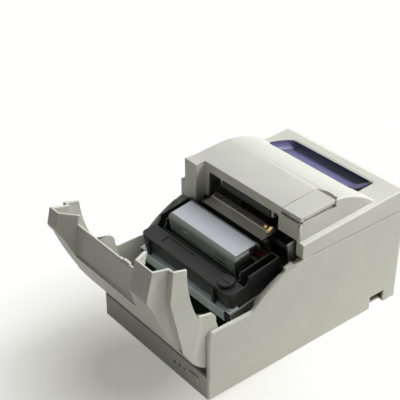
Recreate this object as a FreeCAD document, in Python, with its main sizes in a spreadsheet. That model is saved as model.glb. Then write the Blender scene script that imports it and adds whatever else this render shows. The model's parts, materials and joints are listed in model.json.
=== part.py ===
import FreeCAD, Part
import math
import os
import re
import Sketcher

# Receipt printer with its front cover open, in millimetres.
# X runs to the operator's right, Y to the rear, Z up. Case and covers are drawn from the front
# face of the case (Y) and from the table (Z), both covers closed. The printing mechanism is drawn
# in its own tilted frame: Y along the cassette plate from its front edge, Z square to the plate.

driving_sizes = {
    # lower case
    "case_width": 160,
    "case_depth": 248,
    "case_wall": 3,
    "case_floor": 3,
    "case_bottom": 2,
    "cheek_height": 76.5,
    "cheek_depth": 50,
    "sweep_end": 108,
    "sweep_bow": 4.5,
    "parting_height": 106,
    "front_wall_height": 26,
    "corner_radius": 7,
    "ledge_width": 3.5,
    "ledge_height": 5,
    "ledge_drop": 1.4,
    "catch_length": 9,
    "catch_rise": 3,
    "notch_front_inset": 41,
    "notch_length": 20,
    "notch_height": 14,
    "front_to_origin": 94.45,
    "seam_gap": 0.6,
    # front cover
    "cover_wall": 2.5,
    "cover_hinge_y": 11,
    "cover_hinge_z": 48,
    "cover_open_angle": 76,
    "cover_top_rise": 31.5,
    "cover_flat_front": 80,
    "cover_nose": -2,
    "cover_lip": 30,
    "nose_top_z": 56,
    "slope_low_y": 10,
    "slope_high_y": 73,
    "slope_high_rise": 25.5,
    "slope_bow": 2.4,
    "rim_width": 6,
    "rim_rise": 15.5,
    "rim_mid_y": 76,
    "rim_mid_rise": 11,
    "rim_low_y": 24,
    "rim_low_z": 90.5,
    "scoop_left_inset": 24,
    "scoop_right_inset": 34,
    "scoop_rear": 86,
    "scoop_edge_rise": 15.5,
    "scoop_front": 54,
    "scoop_low_rise": 11,
    "scoop_sag": 0.8,
    "scoop_draft": 5,
    "scoop_skin": 3,
    "pad_setback": 11.6,
    "arm_reach": 55,
    "arm_bottom": 57,
    "arm_radius": 8,
    "cover_pin_radius": 3,
    "pin_clearance": 0.05,
    # roll cover
    "roll_wall": 2.5,
    "hump_front_rise": 40.5,
    "hump_crest_y": 148,
    "hump_crest_rise": 43.5,
    "hump_end_inset": 43,
    "hump_end_rise": 21,
    "hump_bow": 5.2,
    "hump_soft": 2,
    "rim_soft": 1.5,
    "rim_rear_inset": 10,
    "rim_rear_rise": 23,
    "rear_edge_rise": 18,
    "mouth_left_inset": 28,
    "mouth_right_inset": 34,
    "mouth_rise": 30.6,
    "roll_hinge_inset": 5,
    "roll_hinge_rise": 0.2,
    "roll_pin_radius": 1.8,
    "knuckle_radius": 3.6,
    "knuckle_length": 9,
    "knuckle_inner_inset": 22,
    "lug_length": 8,
    "rear_relief": 5.6,
    "window_left_inset": 22,
    "window_right_inset": 28,
    "window_front_inset": 56,
    "window_length": 34,
    "window_thick": 2,
    "pane_radius": 45.2,
    "lever_width": 24,
    "lever_length": 43,
    "lever_thick": 4,
    "lever_drop": 5,
    "lever_tub": 4,
    "lever_relief": 1.5,
    "lever_bow": 5,
    "lever_gap": 0.5,
    "lever_pin_radius": 0.9,
    "lever_pin_back": 6,
    "lever_pin_drop": 2.5,
    "lever_lug": 2.5,
    "lever_lug_in": 2.5,
    "lever_knuckle": 1.7,
    "exit_roller_radius": 5,
    "exit_roller_inset": 46,
    "exit_roller_y": 113.4,
    "exit_roller_rise": 24.6,
    "exit_shaft_radius": 1.5,
    "exit_arm_thick": 2.5,
    "tear_bar_thick": 1,
    "tear_bar_height": 6,
    "tear_bar_drop": 0.4,
    # mechanism
    "mech_y": 32.8,
    "mech_drop": 32.8,
    "mech_tilt": 9,
    "plate_thick": 1.2,
    "plate_left_inset": 24,
    "plate_right_inset": 20,
    "plate_depth": 64,
    "plate_flange": 12,
    "plate_step_u": 14,
    "plate_neck_u": 26,
    "plate_lap": 1,
    "oval_inset": 46,
    "oval_u": 10,
    "oval_length": 14,
    "oval_width": 6,
    "hood_left_inset": 29,
    "hood_right_inset": 36.5,
    "hood_front": 30,
    "hood_rear": 61.5,
    "hood_height": 32,
    "hood_sheet": 1,
    "hood_bend": 4,
    "slot_left_inset": 49.4,
    "slot_right_inset": 56.1,
    "slot_drop": 8,
    "slot_pitch": 4.8,
    "slot_length": 15,
    "slot_width": 2,
    "shaft_radius": 3,
    "shaft_u": 41,
    "shaft_w": 5,
    "rail_radius": 2,
    "rail_u": 53,
    "slide_clearance": 0.05,
    "lug_thick": 1.2,
    "lug_inset": 2.8,
    "carriage_half": 9,
    "carriage_rest_inset": 50,
    "carriage_low": 1,
    "carriage_high": 12,
    "carriage_wall": 2.5,
    "head_radius": 9,
    "head_axis_w": 18,
    "head_front": 33,
    "head_length": 20,
    "head_nose": 5,
    "head_tip_u": 62.5,
    "frame_thick": 1.6,
    "frame_left_inset": 15,
    "frame_right_inset": 14,
    "frame_tail": 10,
    "frame_front": 2,
    "frame_nose": 20,
    "frame_clear": 0.5,
    "frame_foot_front": 8,
    "frame_foot_rear": 84,
    "frame_step": 8,
    "frame_round": 6,
    "frame_hole_drop": 36,
    "frame_hole_radius": 14,
    "frame_top": 34,
    "beam_set": 1,
    "beam_top": 10,
    "platen_u": 66,
    "platen_depth": 5,
    "platen_inset": 34,
    "platen_low": 2,
    "platen_high": 30,
    "guide_inset": 38,
    "guide_depth": 18,
    "guide_strip": 11,
    "guide_rise": 1.2,
    "guide_sheet": 1,
    "guide_rib": 0.5,
    "guide_ribs": 25,
    "roller_radius": 6,
    "roller_inset": 42,
    "roller_u": 82,
    "roller_w": 20,
    "roller_shaft_radius": 2.5,
    "gear_width": 4,
    "gear_module": 1,
    "feed_teeth": 22,
    "idler_teeth": 18,
    "pinion_teeth": 12,
    "gear_bore": 2,
    "gap_root": 0.43,
    "gap_tip": 1.6,
    "gear_gap": 0.6,
    "gear_slack": 0.4,
    "motor_radius": 15,
    "motor_length": 15,
    "motor_shaft_radius": 1.5,
    "housing_drop": 22,
    # ribbon cassette
    "cassette_front": 5,
    "cassette_depth": 21,
    "cassette_inset": 15,
    "cassette_seat": 1,
    "cassette_height": 15,
    "cassette_wall": 1.6,
    "cassette_radius": 5,
    "arm_width": 11,
    "arm_end": 66,
    "arm_taper": 3,
    "ribbon_height": 13,
    "ribbon_thick": 0.4,
    "ribbon_u": 63.4,
    "ribbon_low": 10,
    "lid_thick": 1.4,
    "knob_radius": 8,
    "knob_height": 4,
    "knob_stem": 4.6,
    "grip_x": 20,
    "grip_length": 40,
    "grip_width": 9,
    "spindle_inset": 30,
    "spindle_u": 15,
    "spindle_radius": 3.4,
    "spindle_height": 8,
    "spindle_gap": 0.4,
    "hook_left_inset": 28,
    "hook_right_inset": 36,
    "hook_width": 4,
    "hook_height": 14,
    # paper well, board and rear panel
    "well_radius": 46,
    "well_half": 41,
    "well_inset": 60,
    "well_drop": 22,
    "well_wall": 2,
    "well_top_drop": 8,
    "board_front": 60,
    "board_rear": 150,
    "board_inset": 18,
    "board_z": 11,
    "board_thick": 1.6,
    "post_radius": 3.5,
    "leg_thick": 4,
    "leg_depth": 12,
    "card_front_inset": 48,
    "card_inset": 28,
    "card_z": 18,
    "socket_height": 12,
    "socket_depth": 14,
    "socket_wall": 1.5,
    "inlet_x": 40,
    "inlet_width": 14,
    "jack_x": 12,
    "jack_width": 16,
    "port_x": 28,
    "port_width": 40,
    "panel_inset": 22,
    "panel_low": 14,
    "panel_high": 48,
    "panel_thick": 2,
    # small pieces
    "foot_radius": 7,
    "foot_inset": 18,
    "foot_front_y": 20,
    "foot_rear_inset": 22,
    "foot_socket": 1,
    "button_width": 14,
    "button_height": 8,
    "button_rise": 1.4,
    "button_gap": 0.3,
    "button_flange": 1.5,
    "button_inset": 20,
    "button_z": 15,
    "light_count": 3,
    "light_radius": 1.5,
    "light_pitch": 7,
    "light_rise": 0.3,
    "switch_y": 76,
    "switch_z": 30,
    "switch_width": 13,
    "switch_height": 20,
    "switch_depth": 8,
    "switch_wall": 1.5,
    "switch_gap": 0.4,
    "switch_proud": 1.2,
    "switch_pin": 1,
}

# Places that follow from the width, the depth and the parting line of the case, or the feed roller.
places = {
    "frame_left": "(case_width / 2 - frame_left_inset)",
    "frame_right": "(case_width / 2 - frame_right_inset)",
    "frame_depth": "(roller_u + frame_tail)",
    "frame_rise_u": "(roller_u - frame_step)",
    "plate_left": "(case_width / 2 - plate_left_inset)",
    "plate_right": "(case_width / 2 - plate_right_inset)",
    "hood_left": "(case_width / 2 - hood_left_inset)",
    "hood_right": "(case_width / 2 - hood_right_inset)",
    "slot_left": "(case_width / 2 - slot_left_inset)",
    "slot_right": "(case_width / 2 - slot_right_inset)",
    "platen_half": "(case_width / 2 - platen_inset)",
    "guide_half": "(case_width / 2 - guide_inset)",
    "roller_half": "(case_width / 2 - roller_inset)",
    "cassette_half": "(case_width / 2 - cassette_inset)",
    "spindle_x": "(case_width / 2 - spindle_inset)",
    "hook_left": "(case_width / 2 - hook_left_inset)",
    "hook_right": "(case_width / 2 - hook_right_inset)",
    "carriage_rest": "(case_width / 2 - carriage_rest_inset)",
    "oval_x": "(case_width / 2 - oval_inset)",
    "scoop_left": "(case_width / 2 - scoop_left_inset)",
    "scoop_right": "(case_width / 2 - scoop_right_inset)",
    "mouth_left": "(case_width / 2 - mouth_left_inset)",
    "mouth_right": "(case_width / 2 - mouth_right_inset)",
    "window_left": "(case_width / 2 - window_left_inset)",
    "window_right": "(case_width / 2 - window_right_inset)",
    "exit_roller_half": "(case_width / 2 - exit_roller_inset)",
    "knuckle_inner": "(case_width / 2 - knuckle_inner_inset)",
    "board_half": "(case_width / 2 - board_inset)",
    "panel_half": "(case_width / 2 - panel_inset)",
    "foot_x": "(case_width / 2 - foot_inset)",
    "button_x": "(case_width / 2 - button_inset)",
    "card_half": "(case_width / 2 - card_inset)",
    "roll_hinge_y": "(case_depth - roll_hinge_inset)",
    "rim_rear_y": "(case_depth - rim_rear_inset)",
    "hump_end_y": "(case_depth - hump_end_inset)",
    "window_front": "(case_depth - window_front_inset)",
    "well_y": "(case_depth - well_inset)",
    "notch_front": "(case_depth - notch_front_inset)",
    "foot_rear_y": "(case_depth - foot_rear_inset)",
    "card_front": "(case_depth - card_front_inset)",
    "rim_height": "(parting_height + rim_rise)",
    "rim_rear_z": "(parting_height + rim_rear_rise)",
    "rear_edge_z": "(parting_height + rear_edge_rise)",
    "hump_front_height": "(parting_height + hump_front_rise)",
    "hump_crest_z": "(parting_height + hump_crest_rise)",
    "hump_end_z": "(parting_height + hump_end_rise)",
    "mouth_height": "(parting_height + mouth_rise)",
    "roll_hinge_z": "(parting_height + roll_hinge_rise)",
    "cover_top": "(parting_height + cover_top_rise)",
    "slope_high_z": "(parting_height + slope_high_rise)",
    "scoop_edge": "(parting_height + scoop_edge_rise)",
    "scoop_low": "(parting_height + scoop_low_rise)",
    "rim_mid_z": "(parting_height + rim_mid_rise)",
    "exit_roller_z": "(parting_height + exit_roller_rise)",
    "mech_z": "(parting_height - mech_drop)",
    "well_z": "(parting_height - well_drop)",
    "well_top": "(parting_height - well_top_drop)",
}

doc = FreeCAD.newDocument("receipt_printer")
sheet = doc.addObject("Spreadsheet::Sheet", "sizes")
for row, (alias, number) in enumerate(driving_sizes.items(), start=1):
    sheet.set("A%d" % row, alias)
    sheet.set("B%d" % row, str(number))
    sheet.setAlias("B%d" % row, alias)
trial = doc.addObject("Spreadsheet::Sheet", "trial")
doc.recompute()

# The nodes that are written, in the order that they are made, and the numbers worked out so far.
nodes = []
known = {}


def bound(text):
    # An expression with every place written out and every driving size's name tied to its cell.
    words = r"\b[a-z]+(?:_[a-z]+)+\b"
    written = re.sub(words, lambda found: places.get(found.group(), found.group()), str(text))
    return re.sub(words, lambda found: "sizes." + found.group(), written)


def value(text):
    # The number that an expression of driving sizes gives, worked out in a spare cell.
    if text not in known:
        trial.set("A1", "=%s" % bound(text))
        trial.recompute()
        known[text] = float(trial.A1)
    return known[text]


def tie(item, prop, text):
    item.setExpression(prop, bound(text))


def turned(y, z, angle):
    # A placement turned about X, with its origin at y, z.
    spin = FreeCAD.Rotation(FreeCAD.Vector(1, 0, 0), angle)
    return FreeCAD.Placement(FreeCAD.Vector(0, y, z), spin)


def about(y, z, angle):
    # A turn about the line along X through y, z.
    return turned(y, z, angle).multiply(turned(-y, -z, 0))


def plane_of(body, role):
    return next(item for item in body.Origin.OriginFeatures if item.Role == role)


def piece(label, frame):
    # A new node, drawn in a frame of its own.
    body = doc.addObject("PartDesign::Body", label)
    body.Label = label
    body.Placement = frame
    nodes.append(body)
    return body


def new_sketch(body, role, low, high):
    # A sketch halfway between low and high along the normal of one of the body's planes.
    sketch = body.newObject("Sketcher::SketchObject", "Sketch")
    sketch.AttachmentSupport = [(plane_of(body, role), "")]
    sketch.MapMode = "FlatFace"
    sign = "-" if role == "XZ_Plane" else ""
    tie(sketch, "AttachmentOffset.Base.z", "%s((%s) + (%s)) / 2" % (sign, low, high))
    return sketch


def fix_point(sketch, element, end, corner):
    # Ties a point of a sketch to the expressions of its two coordinates.
    for kind, text in zip(("DistanceX", "DistanceY"), corner):
        index = sketch.addConstraint(Sketcher.Constraint(kind, -1, 1, element, end, value(text)))
        sketch.setExpression("Constraints[%d]" % index, bound(text))


def draw_outline(sketch, corners):
    # A closed outline, counter-clockwise. A third entry of a corner bows the side that leaves it
    # outwards by that much, or inwards where it is negative.
    points = [FreeCAD.Vector(value(corner[0]), value(corner[1]), 0) for corner in corners]
    ends = []
    for index, corner in enumerate(corners):
        start = points[index]
        stop = points[(index + 1) % len(points)]
        bow = value(corner[2]) if len(corner) > 2 else 0
        if bow:
            along = stop - start
            outward = FreeCAD.Vector(along.y, -along.x, 0).normalize()
            middle = (start + stop) * 0.5 + outward * bow
            sketch.addGeometry(Part.Arc(start, middle, stop))
        else:
            sketch.addGeometry(Part.LineSegment(start, stop))
        ends.append((1, 2) if bow >= 0 else (2, 1))
    for index, corner in enumerate(corners):
        following = (index + 1) % len(corners)
        joint = Sketcher.Constraint("Coincident", index, ends[index][1], following, ends[following][0])
        sketch.addConstraint(joint)
        fix_point(sketch, index, ends[index][0], corner[:2])


def draw_circle(sketch, centre, radius):
    middle = FreeCAD.Vector(value(centre[0]), value(centre[1]), 0)
    sketch.addGeometry(Part.Circle(middle, FreeCAD.Vector(0, 0, 1), value(radius)))
    fix_point(sketch, 0, 3, centre)
    index = sketch.addConstraint(Sketcher.Constraint("Radius", 0, value(radius)))
    sketch.setExpression("Constraints[%d]" % index, bound(radius))


def extrude(body, kind, sketch, low, high):
    feature = body.newObject("PartDesign::" + kind, kind)
    feature.Profile = sketch
    feature.SideType = "Symmetric"
    feature.Refine = False
    tie(feature, "Length", "(%s) - (%s)" % (high, low))
    return feature


def add(body, role, low, high, corners):
    sketch = new_sketch(body, role, low, high)
    draw_outline(sketch, corners)
    return extrude(body, "Pad", sketch, low, high)


def cut(body, role, low, high, corners):
    sketch = new_sketch(body, role, low, high)
    draw_outline(sketch, corners)
    return extrude(body, "Pocket", sketch, low, high)


def add_disc(body, role, low, high, centre, radius):
    sketch = new_sketch(body, role, low, high)
    draw_circle(sketch, centre, radius)
    return extrude(body, "Pad", sketch, low, high)


def cut_disc(body, role, low, high, centre, radius):
    sketch = new_sketch(body, role, low, high)
    draw_circle(sketch, centre, radius)
    return extrude(body, "Pocket", sketch, low, high)


def box(left, low, right, high):
    # The four corners of an upright rectangle.
    return [(left, low), (right, low), (right, high), (left, high)]


def round_edges(body, radius, chosen):
    # A fillet on the edges whose middle and direction pass the test.
    base = body.Tip
    base.Refine = True
    doc.recompute()
    names = []
    for number, edge in enumerate(base.Shape.Edges, start=1):
        middle = edge.valueAt((edge.FirstParameter + edge.LastParameter) / 2)
        if chosen(middle, edge.tangentAt(edge.FirstParameter)):
            names.append("Edge%d" % number)
    fillet = body.newObject("PartDesign::Fillet", "Fillet")
    fillet.Base = (base, names)
    tie(fillet, "Radius", radius)
    return fillet


def near(first, second):
    return abs(first - second) < 0.01


# Frames: the case stands on the table, the open cover is turned forward about its hinge, and the
# mechanism leans so that its plate rises to the rear.
case_frame = turned(value("-front_to_origin"), 0, 0)
open_turn = about(value("cover_hinge_y"), value("cover_hinge_z"), value("cover_open_angle"))
cover_frame = case_frame.multiply(open_turn)
mech_frame = case_frame.multiply(turned(value("mech_y"), value("mech_z"), value("mech_tilt")))


def on_mech(x, u, w):
    # A frame parallel to the mechanism's, moved along it.
    return mech_frame.multiply(FreeCAD.Placement(FreeCAD.Vector(x, u, w), FreeCAD.Rotation()))


def floor_under(u):
    # How far below the plate's plane the case floor lies at a distance along the plate.
    lean = math.radians(value("mech_tilt"))
    drop = value("case_bottom + case_floor - mech_z") - u * math.sin(lean)
    return drop / math.cos(lean)


def height_over(u, w):
    # The height over the table that just clears a point of the mechanism.
    lean = math.radians(value("mech_tilt"))
    return repr(value("mech_z + seam_gap") + value(u) * math.sin(lean) + value(w) * math.cos(lean))


# How far a quarter round bows over its chord, as a share of its radius, and what keeps a round end
# just short of a half circle.
quarter_bow = 1 - math.sqrt(0.5)
nearly_half = 0.001

half = "case_width / 2"
inside = "case_width / 2 - case_wall"
floor_top = "case_bottom + case_floor"
rear_inside = "case_depth - case_wall"


def sweep(rise, bow_sign=""):
    # The curved shoulder of the side wall, from the parting line down to the cheek.
    return [
        ("sweep_end", "parting_height + " + rise, bow_sign + "sweep_bow"),
        ("cheek_depth", "cheek_height + " + rise),
    ]


def make_lower_case():
    body = piece("lower_case", case_frame)
    add(body, "YZ_Plane", "-" + half, half, [
        ("0", "case_bottom"),
        ("case_depth", "case_bottom"),
        ("case_depth", "parting_height"),
    ] + sweep("0") + [("0", "cheek_height")])
    cut(body, "YZ_Plane", "-(%s)" % inside, inside, box(
        "case_wall", floor_top, rear_inside, "parting_height + case_wall"))
    cut(body, "YZ_Plane", "-(%s)" % inside, inside, box(
        "-case_wall", "front_wall_height", "2 * case_wall", "parting_height"))
    # The ledge that both covers close over, along the inside of each side wall.
    below = "0 - ledge_drop - ledge_height"
    ledge_front = "arm_reach + 2 * seam_gap"
    ledge_rear = "roll_hinge_y - 2 * knuckle_radius"
    for side in (-1, 1):
        inner = "%d * (%s - ledge_width)" % (side, inside)
        outer = "%d * (%s)" % (side, inside)
        low, high = (inner, outer) if side > 0 else (outer, inner)
        add(body, "YZ_Plane", low, high, [
            ("cheek_depth", "cheek_height + " + below, "-sweep_bow"),
            ("sweep_end", "parting_height + " + below),
            (ledge_rear, "parting_height + " + below),
            (ledge_rear, "parting_height - ledge_drop"),
        ] + sweep("0 - ledge_drop"))
        cut(body, "YZ_Plane", low, high, box(
            "cheek_depth - case_wall", "front_wall_height", ledge_front, "cheek_height + catch_length"))
    # Catch for the front cover, on the right ledge.
    add(body, "YZ_Plane", inside + " - ledge_width", inside, [
        ("sweep_end - 2 * catch_length", "parting_height - 3 * ledge_height"),
        ("sweep_end - catch_length", "parting_height - 3 * ledge_height"),
        ("sweep_end - catch_length", "parting_height - ledge_drop + catch_rise / 2"),
        ("sweep_end - 2 * catch_length", "parting_height - ledge_drop - catch_rise / 2"),
    ])
    # Cord notch in the right wall, openings for the rear panel and the rocker switch.
    cut(body, "YZ_Plane", inside + " - case_wall", half + " + case_wall", box(
        "notch_front", "0", "notch_front + notch_length", "case_bottom + notch_height"))
    cut(body, "XZ_Plane", rear_inside + " - panel_thick", "case_depth + case_wall", box(
        "-panel_half", "panel_low", "panel_half", "panel_high"))
    cut(body, "YZ_Plane", "-(%s) - case_wall" % half, "-(%s) + case_wall" % inside, box(
        "switch_y", "switch_z", "switch_y + switch_width", "switch_z + switch_height"))
    # Openings in the front wall for the feed button and the status lights.
    cut(body, "XZ_Plane", "-case_wall", "2 * case_wall", button_outline("button_gap"))
    for place in light_places():
        cut_disc(body, "XZ_Plane", "-case_wall", "2 * case_wall", place, "light_radius + pin_clearance")
    # The rear edge is lowered so that the roll cover's edge can turn down behind its hinge.
    cut(body, "YZ_Plane", "-(%s) - case_wall" % half, half + " + case_wall", box(
        "roll_hinge_y - knuckle_radius - seam_gap", "parting_height - rear_relief",
        "case_depth + case_wall", "parting_height + case_wall"))
    for low, high in lug_spans():
        add(body, "YZ_Plane", low, high, box(
            "roll_hinge_y - knuckle_radius", "parting_height - 3 * rear_relief",
            rear_inside + " + seam_gap / 3", "roll_hinge_z + knuckle_radius"))
        cut_disc(body, "YZ_Plane", low, high, ("roll_hinge_y", "roll_hinge_z"), "roll_pin_radius")
    for x, y in foot_places():
        cut_disc(body, "XY_Plane", "0", "case_bottom + foot_socket", (x, y), "foot_radius")
    posts = [
        ("board_half", "board_front", "board_z"),
        ("board_half", "board_rear - 4 * post_radius", "board_z"),
        ("card_half", "card_front", "card_z"),
        ("card_half", rear_inside + " - 4 * post_radius", "card_z"),
    ]
    for reach, y, top in posts:
        for x in ("-%s + 2 * post_radius" % reach, reach + " - 2 * post_radius"):
            centre = (x, y + " + 2 * post_radius")
            add_disc(body, "XY_Plane", "case_bottom + case_floor / 2", top, centre, "post_radius")
    round_edges(body, "corner_radius", lambda at, way: (
        near(abs(at.x), value(half)) and near(at.y, value("case_depth")) and near(abs(way.z), 1)))
    round_edges(body, "corner_radius - seam_gap", lambda at, way: (
        near(at.y, 0) and near(at.z, value("cheek_height")) and near(abs(way.x), 1)))
    round_edges(body, "case_wall - seam_gap", lambda at, way: (
        near(at.y, 0) and near(abs(at.x), value(half)) and near(abs(way.z), 1)))


def lug_spans():
    # Along X, the two lugs on each side that carry the roll cover's hinge pin.
    outer = "knuckle_inner + knuckle_length + seam_gap"
    inner = "knuckle_inner - seam_gap - lug_length"
    spans = []
    for start in (outer, inner):
        spans.append((start, start + " + lug_length"))
        spans.append(("-(%s) - lug_length" % start, "-(%s)" % start))
    return spans


def button_outline(margin):
    # The paper feed button on the front wall, wider by a margin all round.
    return box("button_x - button_width / 2 - " + margin, "button_z - button_height / 2 - " + margin,
               "button_x + button_width / 2 + " + margin, "button_z + button_height / 2 + " + margin)


def light_places():
    # Along X and up Z, the row of lights beside the button.
    steps = range(1, int(value("light_count")) + 1)
    return [("button_x - button_width / 2 - %d * light_pitch" % step, "button_z") for step in steps]


def foot_places():
    return [(x, y) for y in ("foot_front_y", "foot_rear_y") for x in ("-foot_x", "foot_x")]


def make_feet():
    names = ("foot_front_left", "foot_front_right", "foot_rear_left", "foot_rear_right")
    for name, (x, y) in zip(names, foot_places()):
        body = piece(name, case_frame)
        add_disc(body, "XY_Plane", "0", "case_bottom + foot_socket", (x, y), "foot_radius")


# How an inward step of one wall moves a point of the slope back and down, and of the corner below.
slope_back = 0.66
slope_down = 0.76
corner_back = 0.78
corner_down = 0.62

cover_rear = "sweep_end - 2 * seam_gap"
cover_low = "cheek_height + seam_gap"
cover_beyond = "sweep_end + case_wall"
cover_above = "cover_top + case_wall"
raised = half + " - rim_width"


def make_front_cover():
    body = piece("front_cover", cover_frame)
    between = inside + " - seam_gap"
    foot_of_slope = "slope_low_y + 3 * cover_wall"
    inner_high = (
        "slope_high_y + %g * cover_wall" % slope_back,
        "slope_high_z - %g * cover_wall" % slope_down,
    )
    # Shell above the cheeks, as wide as the case, with its lower edge on the shoulder.
    add(body, "YZ_Plane", "-" + half, half, [
        ("slope_low_y", cover_low),
        ("cheek_depth", cover_low, "-sweep_bow"),
        ("sweep_end", "parting_height + seam_gap"),
        ("sweep_end", "cover_top"),
        ("cover_flat_front", "cover_top", "slope_bow / 3"),
        ("slope_high_y", "slope_high_z", "slope_bow"),
    ])
    # Narrower part that drops between the cheeks, with an arm to the hinge at each end.
    add(body, "YZ_Plane", "-(%s)" % between, between, [
        ("cover_nose", "cover_lip"),
        ("cover_hinge_y", "cover_hinge_z - 4 * cover_pin_radius"),
        ("arm_reach - arm_radius", "arm_bottom", "arm_radius / 4"),
        ("arm_reach", "arm_bottom + arm_radius"),
        ("arm_reach", "cheek_height + 2 * seam_gap"),
        ("slope_low_y + cover_wall", "cheek_height + 2 * seam_gap"),
        ("slope_low_y", cover_low, "slope_bow * 2 / 3"),
        ("cover_nose", "nose_top_z"),
    ])
    cut(body, "YZ_Plane", "-(%s)" % half, half, box(cover_rear, "cover_lip", cover_beyond, cover_above))
    # Step down to the rim along both ends.
    for low, high in ((raised, half + " + case_wall"), ("-(%s) - case_wall" % half, "-(%s)" % raised)):
        cut(body, "YZ_Plane", low, high, [
            ("rim_low_y", "rim_low_z"),
            ("rim_mid_y", "rim_mid_z"),
            (cover_beyond, "rim_height"),
            (cover_beyond, cover_above),
            ("rim_low_y", cover_above),
        ])
    # Hollow between the arms, under the rim and under the raised ends.
    cut(body, "YZ_Plane", "-(%s) + cover_wall" % between, between + " - cover_wall", [
        ("cover_nose + cover_wall", "cover_lip - cover_wall"),
        ("arm_reach + cover_wall", "cover_lip - cover_wall"),
        ("arm_reach + cover_wall", cover_low),
        (foot_of_slope, cover_low),
        ("slope_low_y + %g * cover_wall" % corner_back, cover_low + " - %g * cover_wall" % corner_down,
         "slope_bow / 2"),
        ("cover_nose + cover_wall", "nose_top_z"),
    ])
    cut(body, "YZ_Plane", "-(%s) + cover_wall" % half, half + " - cover_wall", [
        ("slope_low_y + 4 * cover_wall", cover_low + " + cover_wall"),
        ("arm_reach", cover_low + " + cover_wall"),
        ("arm_reach", "arm_bottom"),
        (cover_beyond, "arm_bottom"),
        (cover_beyond, "rim_height - cover_wall"),
        ("rim_mid_y", "rim_mid_z - cover_wall"),
        ("rim_low_y + cover_wall", "rim_low_z - cover_wall"),
    ])
    left_end = "-(%s) + cover_wall" % raised
    right_end = raised + " - cover_wall"
    left_side = "-scoop_left - scoop_draft - cover_wall"
    right_side = "scoop_right + scoop_draft + cover_wall"
    for low, high in ((left_end, left_side), (right_side, right_end)):
        cut(body, "YZ_Plane", low, high, [
            (foot_of_slope, cover_low),
            (cover_beyond, cover_low),
            (cover_beyond, "cover_top - cover_wall"),
            ("cover_flat_front + cover_wall / 3", "cover_top - cover_wall", "slope_bow / 3"),
            inner_high + ("slope_bow",),
        ])
    cut(body, "YZ_Plane", left_side, right_side, [
        (foot_of_slope, cover_low),
        (cover_beyond, cover_low),
        (cover_beyond, "scoop_edge - cover_wall"),
        ("scoop_rear", "scoop_edge - cover_wall", "-scoop_sag"),
        ("scoop_front + cover_wall / 2", "scoop_low - 1.5 * cover_wall", "slope_bow / 2"),
    ])
    # The paper scoop: the middle of the cover falls away below its raised ends.
    cut(body, "YZ_Plane", "-scoop_left + scoop_draft", "scoop_right - scoop_draft", [
        ("scoop_front", "scoop_low", "scoop_sag"),
        ("scoop_rear", "scoop_edge"),
        ("scoop_rear", "cheek_height"),
        (cover_beyond, "cheek_height"),
        (cover_beyond, cover_above),
        ("scoop_front", cover_above),
    ])
    # Its sides lean outwards, and are hollow behind under the flat of the raised ends.
    lean = "2 * scoop_draft / (cover_top - scoop_edge)"
    skin_top = "scoop_draft + scoop_skin - cover_wall * " + lean
    for sign, edge in (("-", "scoop_left"), ("", "scoop_right")):
        inward = "%s(%s - scoop_draft)" % (sign, edge)
        outward = "%s(%s + scoop_draft)" % (sign, edge)
        cut(body, "XZ_Plane", "scoop_front", cover_beyond, [
            (inward, "scoop_edge"), (outward, "cover_top"), (outward, cover_above), (inward, cover_above)])
        beyond = "%s(%s + scoop_draft + 1.5 * cover_wall)" % (sign, edge)
        cut(body, "XZ_Plane", "cover_flat_front + cover_wall", cover_beyond, [
            ("%s(%s - scoop_draft + scoop_skin)" % (sign, edge), "scoop_edge - 2 * cover_wall"),
            (beyond, "scoop_edge - 2 * cover_wall"),
            (beyond, "cover_top - cover_wall"),
            ("%s(%s + %s)" % (sign, edge, skin_top), "cover_top - cover_wall"),
            ("%s(%s - scoop_draft + scoop_skin)" % (sign, edge), "scoop_edge"),
        ])
    cut(body, "YZ_Plane", "-(%s) - case_wall" % half, "-scoop_left + scoop_draft", box(
        cover_rear + " - pad_setback", "cheek_height", cover_beyond, cover_above))
    # Hinge bosses on the inner faces of the arms, and their bores.
    boss = "(%s - cover_wall)" % between
    for sign in ("", "-"):
        ends = [sign + "(%s - cover_wall)" % boss, sign + "(%s + seam_gap / 2)" % boss]
        low, high = ends if not sign else ends[::-1]
        add_disc(body, "YZ_Plane", low, high, ("cover_hinge_y", "cover_hinge_z"), "2 * cover_pin_radius")
    cut_disc(body, "YZ_Plane", "-" + half, half, ("cover_hinge_y", "cover_hinge_z"),
             "cover_pin_radius + pin_clearance")


def make_cover_fittings():
    for name, sign in (("cover_pin_left", "-"), ("cover_pin_right", "")):
        body = piece(name, case_frame)
        ends = [sign + "(%s - seam_gap - 2 * cover_wall)" % inside, sign + "(%s)" % inside]
        low, high = ends if not sign else ends[::-1]
        add_disc(body, "YZ_Plane", low, high, ("cover_hinge_y", "cover_hinge_z"), "cover_pin_radius")
    button = piece("feed_button", case_frame)
    add(button, "XZ_Plane", "-button_rise", "case_wall + 2 * button_gap", button_outline("0"))
    add(button, "XZ_Plane", "case_wall + button_gap", "case_wall + button_gap + button_flange",
        button_outline("button_flange"))
    lights = piece("status_lights", case_frame)
    for place in light_places():
        add_disc(lights, "XZ_Plane", "-light_rise", "case_wall + light_rise", place, "light_radius")


def mirrored(low, high):
    # A span along X on the right, and its twin on the left.
    return [(low, high), ("-(%s)" % high, "-(%s)" % low)]


roll_low = "parting_height + seam_gap"
roll_front = "sweep_end + roll_wall"
hump_inner = raised + " - roll_wall"
brow_front = cover_rear + " - pad_setback + seam_gap"
recess_left = raised + " - lever_width - lever_gap"
recess_floor = "hump_front_height - lever_drop"
recess_rear = "sweep_end + lever_length + 2 * lever_gap"
lever_pivot = ("sweep_end + lever_pin_back", "hump_front_height - lever_pin_drop")


def lever_lugs():
    start = recess_left + " + lever_lug_in"
    stop = raised + " - lever_lug_in"
    return [(start, start + " + lever_lug"), (stop + " - lever_lug", stop)]


window_rear = "window_front + window_length"


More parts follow.
